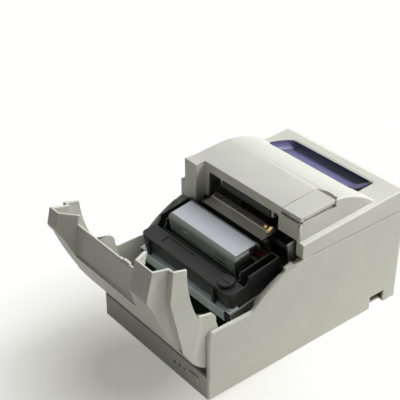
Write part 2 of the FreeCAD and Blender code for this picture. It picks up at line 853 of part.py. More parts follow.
def over_roll(y, inset="0"):
    # Height of the pane's outer curve, drawn round the paper roll's axis, or of one inset from it.
    radius = value("pane_radius - " + inset)
    return repr(value("well_z") + math.sqrt(radius ** 2 - value("%s - well_y" % y) ** 2))


def roll_bow(front, rear, inset="0"):
    # Rise of that curve over the chord between two places.
    radius = value("pane_radius - " + inset)
    first = math.asin(value("%s - well_y" % front) / radius)
    last = math.asin(value("%s - well_y" % rear) / radius)
    return repr(radius * (1 - math.cos((last - first) / 2)))


def rim_over(y):
    # Height of the rim's top.
    return "rim_height + (%s - sweep_end) * (rim_rear_z - rim_height) / (rim_rear_y - sweep_end)" % y


def hump_over(y):
    # Height of the hump's top behind its crest, on the arc that ends the hump.
    run = value("hump_end_y - hump_crest_y")
    fall = value("hump_crest_z - hump_end_z")
    chord = math.hypot(run, fall)
    bow = value("hump_bow")
    radius = chord ** 2 / (8 * bow) + bow / 2
    middle_y = value("hump_crest_y") + run / 2 - (radius - bow) * fall / chord
    middle_z = value("hump_crest_z") - fall / 2 - (radius - bow) * run / chord
    return repr(middle_z + math.sqrt(radius ** 2 - (value(y) - middle_y) ** 2))


def make_roll_cover():
    body = piece("roll_cover", case_frame)
    # Full width rim, and the hump over the paper roll between the two rims.
    add(body, "YZ_Plane", "-" + half, half, [
        ("sweep_end", roll_low),
        ("case_depth", roll_low),
        ("case_depth", "rear_edge_z"),
        ("rim_rear_y", "rim_rear_z"),
        ("sweep_end", "rim_height"),
    ])
    add(body, "YZ_Plane", "-(%s)" % raised, raised, [
        ("sweep_end", roll_low),
        ("hump_end_y", roll_low),
        ("hump_end_y", "hump_end_z", "hump_bow"),
        ("hump_crest_y", "hump_crest_z", "hump_bow / 8"),
        ("sweep_end", "hump_front_height"),
    ])
    round_edges(body, "hump_soft", lambda at, way: (
        near(abs(at.x), value(raised)) and at.z > value("hump_end_z")))
    round_edges(body, "rim_soft", lambda at, way: (
        near(abs(at.x), value(half)) and at.z > value("rim_height") and not near(abs(way.z), 1)))
    # Brow at the left that reaches forward over the end of the front cover.
    brow_right = "-scoop_left - seam_gap"
    add(body, "YZ_Plane", "-" + half, "-(%s)" % raised, box(
        brow_front, "cheek_height", roll_front, "rim_height"))
    add(body, "YZ_Plane", "-(%s)" % raised, brow_right, box(
        brow_front, "cheek_height", roll_front, "hump_front_height"))
    cut(body, "YZ_Plane", "-" + half, brow_right, [
        ("cheek_depth", "front_wall_height"),
        ("sweep_end", "front_wall_height"),
    ] + sweep("seam_gap"))
    cut(body, "YZ_Plane", "-" + half, brow_right, box(
        "sweep_end - seam_gap", "cheek_height", roll_front, roll_low))
    # Hollow under the rim, the hump and the brow.
    cut(body, "YZ_Plane", "-(%s) + roll_wall" % half, half + " - roll_wall", [
        (roll_front, "cheek_height"),
        ("case_depth - roll_wall", "cheek_height"),
        ("case_depth - roll_wall", "rear_edge_z - roll_wall"),
        ("rim_rear_y", "rim_rear_z - roll_wall"),
        (roll_front, "rim_height - roll_wall"),
    ])
    cut(body, "YZ_Plane", "-(%s)" % hump_inner, hump_inner, [
        (roll_front, "cheek_height"),
        ("hump_end_y - roll_wall", "cheek_height"),
        ("hump_end_y - roll_wall", "hump_end_z - roll_wall", "hump_bow"),
        ("hump_crest_y", "hump_crest_z - roll_wall", "hump_bow / 8"),
        (roll_front, "hump_front_height - roll_wall"),
    ])
    cut(body, "YZ_Plane", "-(%s) + roll_wall" % half, brow_right + " - roll_wall", box(
        brow_front + " + roll_wall", "cheek_height", roll_front + " + seam_gap", "rim_height - roll_wall"))
    cut(body, "YZ_Plane", "-(%s)" % hump_inner, brow_right + " - roll_wall", box(
        brow_front + " + roll_wall", "cheek_height",
        roll_front + " + seam_gap", "hump_front_height - roll_wall"))
    # Paper mouth in the front wall.
    cut(body, "YZ_Plane", "-mouth_left", "mouth_right", box(
        "sweep_end - roll_wall", "cheek_height", roll_front + " + roll_wall", "mouth_height"))
    # The front wall is cut away over the right side frame and both ends of the feed roller.
    frame_over = height_over("frame_depth", "frame_top")
    roller_over = height_over("roller_u", "roller_w + roller_shaft_radius")
    for low, high, top in (("mouth_right - roll_wall", "frame_right + 3 * frame_thick", frame_over),
                           (brow_right + " - 2 * roll_wall", "-mouth_left + roll_wall", roller_over)):
        cut(body, "YZ_Plane", low, high, box(
            "sweep_end - roll_wall", "cheek_height", roll_front + " + roll_wall", top))
    # Tub for the opening lever, with an arched finger recess behind it and two lugs for its pin.
    tub_rear = recess_rear + " + lever_bow + roll_wall"
    add(body, "YZ_Plane", recess_left + " - roll_wall", raised + " - roll_wall / 2", [
        ("sweep_end + roll_wall / 2", recess_floor + " - lever_tub"),
        (tub_rear, recess_floor + " - lever_tub"),
        (tub_rear, hump_over(tub_rear) + " - roll_wall / 2"),
        ("hump_crest_y", "hump_crest_z - roll_wall / 2"),
        ("sweep_end + roll_wall / 2", "hump_front_height - roll_wall / 2"),
    ])
    cut(body, "XY_Plane", recess_floor, "hump_crest_z + roll_wall", [
        (recess_left, "sweep_end - roll_wall"),
        (raised + " + seam_gap", "sweep_end - roll_wall"),
        (raised + " + seam_gap", recess_rear, "lever_bow"),
        (recess_left, recess_rear),
    ])
    cut(body, "YZ_Plane", recess_left, raised + " + seam_gap", box(
        "sweep_end - roll_wall", recess_floor + " - lever_relief",
        lever_pivot[0] + " - lever_lug", "hump_crest_z"))
    for low, high in lever_lugs():
        add(body, "YZ_Plane", low, high, box(
            lever_pivot[0] + " - lever_knuckle", recess_floor + " - lever_relief",
            lever_pivot[0] + " + lever_knuckle", lever_pivot[1]))
        add_disc(body, "YZ_Plane", low, high, lever_pivot, "lever_knuckle")
    cut_disc(body, "YZ_Plane", recess_left, raised + " + seam_gap", lever_pivot,
             "lever_pin_radius + slide_clearance")
    # Window over the roll: a well with four walls that the pane sits between.
    add(body, "YZ_Plane", "-window_left - roll_wall", "window_right + roll_wall", [
        ("window_front - roll_wall", over_roll("window_front") + " - 2 * window_thick"),
        (window_rear + " + roll_wall", over_roll(window_rear) + " - 2 * window_thick"),
        (window_rear + " + roll_wall", rim_over(window_rear) + " - roll_wall / 2"),
        ("hump_end_y", rim_over("hump_end_y") + " - roll_wall / 2"),
        ("window_front - roll_wall", hump_over("window_front") + " - roll_wall / 2"),
    ])
    cut(body, "XY_Plane", "parting_height - case_wall", "hump_crest_z", box(
        "-window_left", "window_front", "window_right", window_rear))
    # Arms for the exit roller, clear of the tear bar in front of them.
    bar_rear = roll_front + " + tear_bar_thick + seam_gap / 2"
    for low, high in mirrored("exit_roller_half + seam_gap", "exit_roller_half + seam_gap + exit_arm_thick"):
        add(body, "YZ_Plane", low, high, [
            ("exit_roller_y - 2 * exit_shaft_radius", "exit_roller_z - 2 * exit_shaft_radius"),
            ("exit_roller_y + exit_roller_radius", "exit_roller_z - 2 * exit_shaft_radius"),
            ("exit_roller_y + exit_roller_radius", "hump_front_height - roll_wall / 2"),
            (bar_rear, "hump_front_height - roll_wall / 2"),
            (bar_rear, "mouth_height - seam_gap"),
            ("exit_roller_y - 2 * exit_shaft_radius", "mouth_height - seam_gap"),
        ])
        cut_disc(body, "YZ_Plane", low, high, ("exit_roller_y", "exit_roller_z"),
                 "exit_shaft_radius + slide_clearance")
    # Rear hinge: the wall is cleared round the case's lugs and carries two knuckles between them.
    hinge = ("roll_hinge_y", "roll_hinge_z")
    for low, high in lug_spans():
        cut_disc(body, "YZ_Plane", low + " - seam_gap", high + " + seam_gap", hinge,
                 "knuckle_radius + rear_relief / 3")
    for low, high in mirrored("knuckle_inner", "knuckle_inner + knuckle_length"):
        add_disc(body, "YZ_Plane", low, high, hinge, "knuckle_radius")
        add(body, "YZ_Plane", low, high, box(
            "roll_hinge_y", "roll_hinge_z",
            "case_depth - roll_wall / 2", "roll_hinge_z + 2 * knuckle_radius"))
        cut_disc(body, "YZ_Plane", low, high, hinge, "roll_pin_radius + slide_clearance")


def make_roll_fittings():
    # The pane is curved round the paper roll's axis.
    pane = piece("roll_window", case_frame)
    front = "window_front + seam_gap / 2"
    rear = window_rear + " - seam_gap / 2"
    add(pane, "YZ_Plane", "-window_left + seam_gap / 2", "window_right - seam_gap / 2", [
        (front, over_roll(front, "window_thick"), "-" + roll_bow(front, rear, "window_thick")),
        (rear, over_roll(rear, "window_thick")),
        (rear, over_roll(rear), roll_bow(front, rear)),
        (front, over_roll(front)),
    ])
    lever = piece("open_lever", case_frame)
    lever_rise = "(hump_crest_z - hump_front_height) * lever_length / (hump_crest_y - sweep_end)"
    lever_front = "sweep_end + lever_gap"
    lever_rear = "sweep_end + lever_length"
    add(lever, "YZ_Plane", recess_left + " + lever_gap", raised, [
        (lever_front, "hump_front_height - lever_thick"),
        (lever_rear, "hump_front_height - lever_thick + " + lever_rise),
        (lever_rear, "hump_front_height + " + lever_rise),
        (lever_front, "hump_front_height"),
    ])
    for low, high in lever_lugs():
        cut(lever, "YZ_Plane", low + " - lever_gap", high + " + lever_gap", box(
            lever_pivot[0] + " - lever_knuckle - 2 * lever_gap", recess_floor + " - lever_thick",
            lever_pivot[0] + " + lever_knuckle + 2 * lever_gap",
            lever_pivot[1] + " + lever_knuckle + lever_gap / 2"))
    cut_disc(lever, "YZ_Plane", recess_left, raised + " + seam_gap", lever_pivot,
             "lever_pin_radius + slide_clearance")
    pin = piece("lever_pin", case_frame)
    spans = lever_lugs()
    add_disc(pin, "YZ_Plane", spans[0][0], spans[1][1], lever_pivot, "lever_pin_radius")
    roller = piece("exit_roller", case_frame)
    add_disc(roller, "YZ_Plane", "-exit_roller_half", "exit_roller_half", ("exit_roller_y", "exit_roller_z"),
             "exit_roller_radius")
    shaft_end = "exit_roller_half + seam_gap + exit_arm_thick"
    add_disc(roller, "YZ_Plane", "-(%s)" % shaft_end, shaft_end, ("exit_roller_y", "exit_roller_z"),
             "exit_shaft_radius")
    bar = piece("tear_bar", case_frame)
    add(bar, "YZ_Plane", "-mouth_left + roll_wall", "mouth_right - roll_wall", [
        (roll_front, "mouth_height - tear_bar_drop"),
        (roll_front + " + tear_bar_thick", "mouth_height - tear_bar_drop + tear_bar_thick"),
        (roll_front + " + tear_bar_thick", "mouth_height + tear_bar_height"),
        (roll_front, "mouth_height + tear_bar_height"),
    ])
    pin_low = "knuckle_inner - seam_gap - lug_length"
    pin_high = "knuckle_inner + knuckle_length + seam_gap + lug_length"
    for name, (low, high) in zip(("roll_pin_right", "roll_pin_left"), mirrored(pin_low, pin_high)):
        body = piece(name, case_frame)
        add_disc(body, "YZ_Plane", low, high, ("roll_hinge_y", "roll_hinge_z"), "roll_pin_radius")


plate_under = "-plate_thick"
roller_axis = ("roller_u", "roller_w")
idler_axis = ("roller_u", "roller_w - gear_module * (feed_teeth + idler_teeth) / 2 - gear_slack")
pinion_axis = ("roller_u", idler_axis[1] + " - gear_module * (idler_teeth + pinion_teeth) / 2 - gear_slack")
gear_outer = "-frame_left - frame_thick - gear_gap - gear_width"
gear_inner = "-frame_left - frame_thick - gear_gap"


def make_side_frames():
    spans = {"side_frame_left": ("-frame_left - frame_thick", "-frame_left"),
             "side_frame_right": ("frame_right", "frame_right + frame_thick")}
    foot_front = repr(floor_under(value("frame_foot_front")))
    foot_rear = repr(floor_under(value("frame_foot_rear")))
    for name, (low, high) in spans.items():
        body = piece(name, mech_frame)
        add(body, "YZ_Plane", low, high, [
            ("frame_foot_front", foot_front),
            ("frame_foot_rear", foot_rear),
            ("frame_depth", "-frame_nose"),
            ("frame_depth", "frame_top - frame_round", "frame_round * %g" % quarter_bow),
            ("frame_depth - frame_round", "frame_top"),
            ("frame_rise_u", "frame_top"),
            ("frame_rise_u", "beam_top"),
            ("platen_u + beam_set", "beam_top"),
            ("platen_u + beam_set", "-frame_clear"),
            ("frame_front", "-frame_clear"),
            ("frame_front", "-frame_nose"),
        ])
        cut_disc(body, "YZ_Plane", low, high, ("platen_u / 2", "-frame_hole_drop"), "frame_hole_radius")
        cut_disc(body, "YZ_Plane", low, high, roller_axis, "roller_shaft_radius + slide_clearance")
    left = next(item for item in nodes if item.Label == "side_frame_left")
    low, high = spans["side_frame_left"]
    cut_disc(left, "YZ_Plane", low, high, idler_axis, "gear_bore")
    cut_disc(left, "YZ_Plane", low, high, pinion_axis, "2 * gear_bore")


def make_plate():
    body = piece("cassette_plate", mech_frame)
    add(body, "XY_Plane", plate_under, "0", [
        ("-plate_left", "0"),
        ("plate_right", "0"),
        ("plate_right", "plate_step_u"),
        ("hood_right + plate_lap", "plate_neck_u"),
        ("hood_right + plate_lap", "plate_depth"),
        ("-plate_left", "plate_depth"),
    ])
    add(body, "YZ_Plane", "-plate_left", "plate_right", box("0", "-plate_flange", "plate_thick", "0"))
    ears = (("-frame_left", "-plate_left + plate_lap"), ("plate_right - plate_lap", "frame_right"))
    for left, right in ears:
        add(body, "XY_Plane", plate_under, "0", box(
            left, "plate_lap * 2", right, "plate_step_u - plate_lap"))
    # Oval finger hole, spindle hole, a slot beside it, and notches for the guide posts.
    oval = "oval_length / 2 - oval_width / 2"
    cut(body, "XY_Plane", "-plate_flange", "plate_thick", [
        ("-oval_x - %s" % oval, "oval_u - oval_width / 2"),
        ("-oval_x + %s" % oval, "oval_u - oval_width / 2", "oval_width / 2 - %g" % nearly_half),
        ("-oval_x + %s" % oval, "oval_u + oval_width / 2"),
        ("-oval_x - %s" % oval, "oval_u + oval_width / 2", "oval_width / 2 - %g" % nearly_half),
    ])
    cut_disc(body, "XY_Plane", plate_under, "0", ("spindle_x", "spindle_u"),
             "spindle_radius + 2 * spindle_gap")
    cut(body, "XY_Plane", plate_under, "0", box(
        "spindle_x - 3 * hook_width", "spindle_u - hook_width",
        "spindle_x - 2 * hook_width", "spindle_u + hook_width"))
    for x in hook_places():
        cut(body, "XY_Plane", plate_under, "0", box(
            x + " - hook_width / 2 - seam_gap", "plate_thick", x + " + hook_width / 2 + seam_gap",
            "cassette_front + seam_gap"))
    # Upright lugs for the guide shaft and rail.
    for low, high in shaft_lugs():
        add(body, "YZ_Plane", low, high, [
            ("shaft_u - 2 * shaft_radius", plate_under),
            ("rail_u + 2 * rail_radius", plate_under),
            ("rail_u + 2 * rail_radius", "shaft_w + rail_radius"),
            ("rail_u + rail_radius", "shaft_w + 2 * rail_radius"),
            ("shaft_u - shaft_radius", "shaft_w + 2 * rail_radius"),
            ("shaft_u - 2 * shaft_radius", "shaft_w + rail_radius"),
        ])
        cut_disc(body, "YZ_Plane", low, high, ("shaft_u", "shaft_w"), "shaft_radius + slide_clearance")
        cut_disc(body, "YZ_Plane", low, high, ("rail_u", "shaft_w"), "rail_radius + slide_clearance")


def hook_places():
    return ("-hook_left", "hook_right")


def shaft_lugs():
    left = "-hood_left + lug_inset"
    right = "hood_right - lug_inset / 2"
    return [(left, left + " + lug_thick"), (right + " - lug_thick", right)]


def make_hood():
    body = piece("head_cover", mech_frame)
    outer_bow = "hood_bend * %g" % quarter_bow
    inner_bow = "-(hood_bend - hood_sheet) * %g" % quarter_bow
    add(body, "YZ_Plane", "-hood_left", "hood_right", [
        ("hood_front", "0"),
        ("hood_front + hood_sheet", "0"),
        ("hood_front + hood_sheet", "hood_height - hood_bend", inner_bow),
        ("hood_front + hood_bend", "hood_height - hood_sheet"),
        ("hood_rear - hood_bend", "hood_height - hood_sheet", inner_bow),
        ("hood_rear - hood_sheet", "hood_height - hood_bend"),
        ("hood_rear - hood_sheet", "hood_height - 2 * hood_bend"),
        ("hood_rear", "hood_height - 2 * hood_bend"),
        ("hood_rear", "hood_height - hood_bend", outer_bow),
        ("hood_rear - hood_bend", "hood_height"),
        ("hood_front + hood_bend", "hood_height", outer_bow),
        ("hood_front", "hood_height - hood_bend"),
    ])
    for x in ("-slot_left", "slot_right"):
        for step in range(2):
            w = "hood_height - slot_drop - %d * slot_pitch" % step
            cut(body, "XZ_Plane", "hood_front - hood_sheet", "hood_front + 2 * hood_sheet", box(
                x + " - slot_length / 2", w + " - slot_width", x + " + slot_length / 2", w))


def make_carriage():
    bars = (("guide_shaft", "shaft_u", "shaft_radius"), ("guide_rail", "rail_u", "rail_radius"))
    for name, u, radius in bars:
        body = piece(name, mech_frame)
        spans = shaft_lugs()
        add_disc(body, "YZ_Plane", spans[0][0], spans[1][1], (u, "shaft_w"), radius)
    body = piece("carriage", mech_frame)
    left = "carriage_rest - carriage_half"
    right = "carriage_rest + carriage_half"
    front = "shaft_u - shaft_radius - carriage_wall"
    add(body, "YZ_Plane", left, right, [
        (front, "carriage_low"),
        ("rail_u + rail_radius + carriage_wall", "carriage_low"),
        ("rail_u + rail_radius + carriage_wall", "carriage_high - carriage_wall"),
        ("rail_u", "carriage_high"),
        (front, "carriage_high"),
    ])
    cut_disc(body, "YZ_Plane", left, right, ("shaft_u", "shaft_w"), "shaft_radius + slide_clearance")
    cut_disc(body, "YZ_Plane", left, right, ("rail_u", "shaft_w"), "rail_radius + slide_clearance")
    cut_disc(body, "XZ_Plane", "head_front - carriage_wall", "rail_u + 2 * carriage_wall",
             ("carriage_rest", "head_axis_w"), "head_radius")
    head = piece("print_head", mech_frame)
    add_disc(head, "XZ_Plane", "head_front", "head_front + head_length",
             ("carriage_rest", "head_axis_w"), "head_radius")
    add(head, "YZ_Plane", "carriage_rest - head_nose", "carriage_rest + head_nose", [
        ("head_front + head_length / 2", "head_axis_w - head_nose"),
        ("head_tip_u - head_nose", "head_axis_w - head_nose"),
        ("head_tip_u", "head_axis_w - head_nose / 2"),
        ("head_tip_u", "head_axis_w + head_nose / 2"),
        ("head_tip_u - head_nose", "head_axis_w + head_nose"),
        ("head_front + head_length / 2", "head_axis_w + head_nose"),
    ])


def make_paper_path():
    body = piece("platen", mech_frame)
    add(body, "YZ_Plane", "-platen_half", "platen_half", box(
        "platen_u", "platen_low", "platen_u + platen_depth", "platen_high"))
    add(body, "YZ_Plane", "-frame_left", "frame_right", box(
        "platen_u + beam_set", "platen_low", "platen_u + platen_depth", "beam_top - seam_gap"))
    guide = piece("paper_guide", mech_frame)
    step_u = "platen_u + guide_strip"
    rear_u = "platen_u + guide_depth"
    plate_top = "platen_high + guide_rise + guide_sheet"
    add(guide, "YZ_Plane", "-guide_half", "guide_half", [
        ("platen_u", "platen_high"),
        (step_u, "platen_high"),
        (rear_u, "platen_high + guide_rise"),
        (rear_u, plate_top),
        (step_u, plate_top),
        (step_u + " - guide_sheet", "platen_high + guide_sheet"),
        ("platen_u", "platen_high + guide_sheet"),
    ])
    rib = add(guide, "YZ_Plane", "-guide_half", "-guide_half + guide_sheet", box(
        step_u + " + guide_sheet", "platen_high + guide_rise",
        rear_u + " - guide_sheet", plate_top + " + guide_rib"))
    row = guide.newObject("PartDesign::LinearPattern", "Ribs")
    row.Originals = [rib]
    row.Direction = (plane_of(guide, "X_Axis"), [""])
    tie(row, "Length", "2 * guide_half - guide_sheet")
    tie(row, "Occurrences", "guide_ribs")
    guide.Tip = row
    roller = piece("feed_roller", mech_frame)
    add_disc(roller, "YZ_Plane", "-roller_half", "roller_half", roller_axis, "roller_radius")
    add_disc(roller, "YZ_Plane", gear_outer, "frame_right + 2 * frame_thick", roller_axis,
             "roller_shaft_radius")


def make_gear(name, teeth, axis, turn, bore):
    # Straight flanked teeth, cut one gap at a time from a blank round the shaft.
    frame = on_mech(0, value(axis[0]), value(axis[1]))
    body = piece(name, frame.multiply(turned(0, 0, turn)))
    tip = "gear_module * (%s + 2) / 2" % teeth
    root = "gear_module * (%s - 2.5) / 2" % teeth
    add_disc(body, "YZ_Plane", gear_outer, gear_inner, ("0", "0"), tip)
    gap = cut(body, "YZ_Plane", gear_outer, gear_inner, [
        (root, "-gear_module * gap_root"),
        (tip + " + gear_module", "-gear_module * gap_tip"),
        (tip + " + gear_module", "gear_module * gap_tip"),
        (root, "gear_module * gap_root"),
    ])
    ring = body.newObject("PartDesign::PolarPattern", "Teeth")
    ring.Originals = [gap]
    ring.Axis = (plane_of(body, "X_Axis"), [""])
    ring.Angle = 360
    tie(ring, "Occurrences", teeth)
    body.Tip = ring
    cut_disc(body, "YZ_Plane", gear_outer, gear_inner, ("0", "0"), bore)
    return body


def make_drive():
    # Each gear in the chain starts half a pitch on where its tooth meets the gap of the last one.
    down = 270
    feed_turn = down
    idler_turn = 90 + 180 / value("idler_teeth")
    facing = (down - idler_turn) * value("idler_teeth") / 360
    lag = (facing - math.floor(facing)) * 360 / value("pinion_teeth")
    pinion_turn = 90 + 180 / value("pinion_teeth") + lag
    make_gear("feed_gear", "feed_teeth", roller_axis, feed_turn, "roller_shaft_radius + slide_clearance")
    make_gear("idler_gear", "idler_teeth", idler_axis, idler_turn, "gear_bore + slide_clearance")
    make_gear("motor_pinion", "pinion_teeth", pinion_axis, pinion_turn,
              "motor_shaft_radius + slide_clearance")
    pin = piece("idler_pin", mech_frame)
    add_disc(pin, "YZ_Plane", gear_outer, "-frame_left", idler_axis, "gear_bore")
    shaft = piece("motor_shaft", mech_frame)
    add_disc(shaft, "YZ_Plane", gear_outer, "-frame_left + motor_length / 2", pinion_axis,
             "motor_shaft_radius")
    motor = piece("feed_motor", mech_frame)
    add_disc(motor, "YZ_Plane", "-frame_left", "-frame_left + motor_length", pinion_axis, "motor_radius")
    cut_disc(motor, "YZ_Plane", "-frame_left", "-frame_left + motor_length / 2", pinion_axis,
             "motor_shaft_radius + slide_clearance")
    spindle = piece("ribbon_spindle", mech_frame)
    add_disc(spindle, "XY_Plane", "plate_thick", "spindle_height", ("spindle_x", "spindle_u"),
             "spindle_radius")
    add_disc(spindle, "XY_Plane", "-plate_flange", "spindle_height", ("spindle_x", "spindle_u"), "gear_bore")
    housing = piece("drive_housing", mech_frame)
    set_back = "plate_lap / 2 + seam_gap"
    add(housing, "XY_Plane", "-housing_drop", "-frame_clear", [
        ("hood_right + plate_lap + %s" % set_back, "plate_neck_u + seam_gap"),
        ("plate_right + %s" % set_back, "plate_step_u + %s" % set_back),
        ("frame_right", "plate_step_u + %s" % set_back),
        ("frame_right", "platen_u"),
        ("hood_right + plate_lap + %s" % set_back, "platen_u"),
    ])
    add(housing, "XY_Plane", "-housing_drop", "-plate_thick - seam_gap / 3", box(
        "hood_right", "plate_flange", "plate_right + %s" % set_back, "plate_neck_u + plate_lap"))
    cut_disc(housing, "XY_Plane", "-housing_drop", "0", ("spindle_x", "spindle_u"),
             "gear_bore + slide_clearance")


def make_cassette_seat():
    rest = piece("left_rest", mech_frame)
    add(rest, "XY_Plane", "-plate_flange", "-frame_clear", box(
        "-frame_left", "plate_step_u", "-plate_left - seam_gap", "platen_u"))
    cut(rest, "XY_Plane", "-plate_flange + plate_thick", "0", box(
        "-frame_left + 2 * plate_thick", "plate_step_u + 2 * plate_thick",
        "-plate_left - seam_gap - 2 * plate_thick", "platen_u - 2 * plate_thick"))
    base = piece("cassette_base", mech_frame)
    add(base, "YZ_Plane", "-frame_left", "frame_right", box(
        "plate_thick", "-plate_flange", "cassette_front + plate_lap", "-plate_thick"))
    for x in hook_places():
        add(base, "YZ_Plane", x + " - hook_width / 2", x + " + hook_width / 2", [
            ("plate_thick + seam_gap / 2", "-plate_flange / 2"),
            ("cassette_front - seam_gap", "-plate_flange / 2"),
            ("cassette_front - seam_gap", "hook_height - hook_width"),
            ("cassette_front - 2 * seam_gap", "hook_height", "seam_gap"),
            ("plate_thick + seam_gap / 2", "hook_height"),
        ])


cassette_top = "cassette_seat + cassette_height"
cassette_rear = "cassette_front + cassette_depth"
arm_inner = "cassette_half - arm_width"
arm_top = "ribbon_low + ribbon_height + cassette_wall"
ribbon_span = "cassette_half - arm_width + cassette_wall + seam_gap"


def make_cassette():
    body = piece("cassette_tray", mech_frame)
    bend = "cassette_radius * %g" % quarter_bow
    add(body, "XY_Plane", "cassette_seat", cassette_top, [
        ("-cassette_half + cassette_radius", "cassette_front"),
        ("cassette_half - cassette_radius", "cassette_front", bend),
        ("cassette_half", "cassette_front + cassette_radius"),
        ("cassette_half", cassette_rear),
        ("-cassette_half", cassette_rear),
        ("-cassette_half", "cassette_front + cassette_radius", bend),
    ])
    for low, high in mirrored(arm_inner, "cassette_half"):
        add(body, "YZ_Plane", low, high, [
            (cassette_rear + " - cassette_wall", "cassette_seat"),
            ("arm_end - arm_taper", "cassette_seat"),
            ("arm_end", "cassette_seat + arm_taper"),
            ("arm_end", arm_top),
            (cassette_rear + " + arm_taper", arm_top, "-cassette_wall"),
            (cassette_rear + " - cassette_wall", cassette_top),
        ])
    cut(body, "XY_Plane", "cassette_seat + cassette_wall", cassette_top, [
        ("-cassette_half + cassette_radius", "cassette_front + cassette_wall"),
        ("cassette_half - cassette_radius", "cassette_front + cassette_wall", bend),
        ("cassette_half - cassette_wall", "cassette_front + cassette_radius"),
        ("cassette_half - cassette_wall", cassette_rear + " - cassette_wall"),
        ("-cassette_half + cassette_wall", cassette_rear + " - cassette_wall"),
        ("-cassette_half + cassette_wall", "cassette_front + cassette_radius", bend),
    ])
    # Ribbon channels in the arms, each with a slit towards the print head.
    for low, high in mirrored(arm_inner + " + cassette_wall", "cassette_half - cassette_wall"):
        cut(body, "YZ_Plane", low, high, box(
            cassette_rear + " - 2 * cassette_wall", "cassette_seat + 2 * cassette_wall",
            "arm_end - cassette_wall", arm_top + " + cassette_wall"))
    for low, high in mirrored(arm_inner + " - cassette_wall", arm_inner + " + 2 * cassette_wall"):
        cut(body, "YZ_Plane", low, high, box(
            "ribbon_u - seam_gap", "ribbon_low - seam_gap", "ribbon_u + ribbon_thick + seam_gap",
            arm_top + " + cassette_wall"))
    cut_disc(body, "XY_Plane", "0", cassette_top, ("spindle_x", "spindle_u"), "knob_stem + seam_gap")
    lid = piece("cassette_lid", mech_frame)
    lid_rear = cassette_rear + " - 2 * cassette_wall"
    add(lid, "XY_Plane", cassette_top, cassette_top + " + lid_thick", [
        ("-cassette_half + cassette_radius", "cassette_front"),
        ("cassette_half - cassette_radius", "cassette_front", bend),
        ("cassette_half", "cassette_front + cassette_radius"),
        ("cassette_half", lid_rear),
        ("-cassette_half", lid_rear),
        ("-cassette_half", "cassette_front + cassette_radius", bend),
    ])
    add(lid, "XY_Plane", cassette_top + " - lid_thick", cassette_top, [
        ("-cassette_half + cassette_radius", "cassette_front + cassette_wall + pin_clearance"),
        ("cassette_half - cassette_radius", "cassette_front + cassette_wall + pin_clearance"),
        ("cassette_half - cassette_radius", lid_rear),
        ("-cassette_half + cassette_radius", lid_rear),
    ])
    cut(lid, "XY_Plane", cassette_top + " + lid_thick / 2", cassette_top + " + 2 * lid_thick", box(
        "-grip_x - grip_length / 2", "spindle_u - grip_width / 2", "-grip_x + grip_length / 2",
        "spindle_u + grip_width / 2"))
    cut_disc(lid, "XY_Plane", cassette_top + " - 2 * lid_thick", cassette_top + " + 2 * lid_thick",
             ("spindle_x", "spindle_u"), "knob_stem + slide_clearance")
    ribbon = piece("ribbon", mech_frame)
    add(ribbon, "YZ_Plane", "-(%s)" % ribbon_span, ribbon_span, box(
        "ribbon_u", "ribbon_low", "ribbon_u + ribbon_thick", "ribbon_low + ribbon_height"))
    knob = piece("ribbon_knob", mech_frame)
    knob_low = cassette_top + " + lid_thick + seam_gap / 2"
    centre = ("spindle_x", "spindle_u")
    add_disc(knob, "XY_Plane", "cassette_seat + seam_gap", knob_low, centre, "knob_stem")
    add_disc(knob, "XY_Plane", knob_low, knob_low + " + knob_height", centre, "knob_radius")
    cut_disc(knob, "XY_Plane", "0", "spindle_height + 2 * seam_gap", centre, "spindle_radius + spindle_gap")
    cut_disc(knob, "XY_Plane", knob_low, knob_low + " + 2 * knob_height",
             ("spindle_x + knob_radius", "spindle_u"), "knob_height / 4")


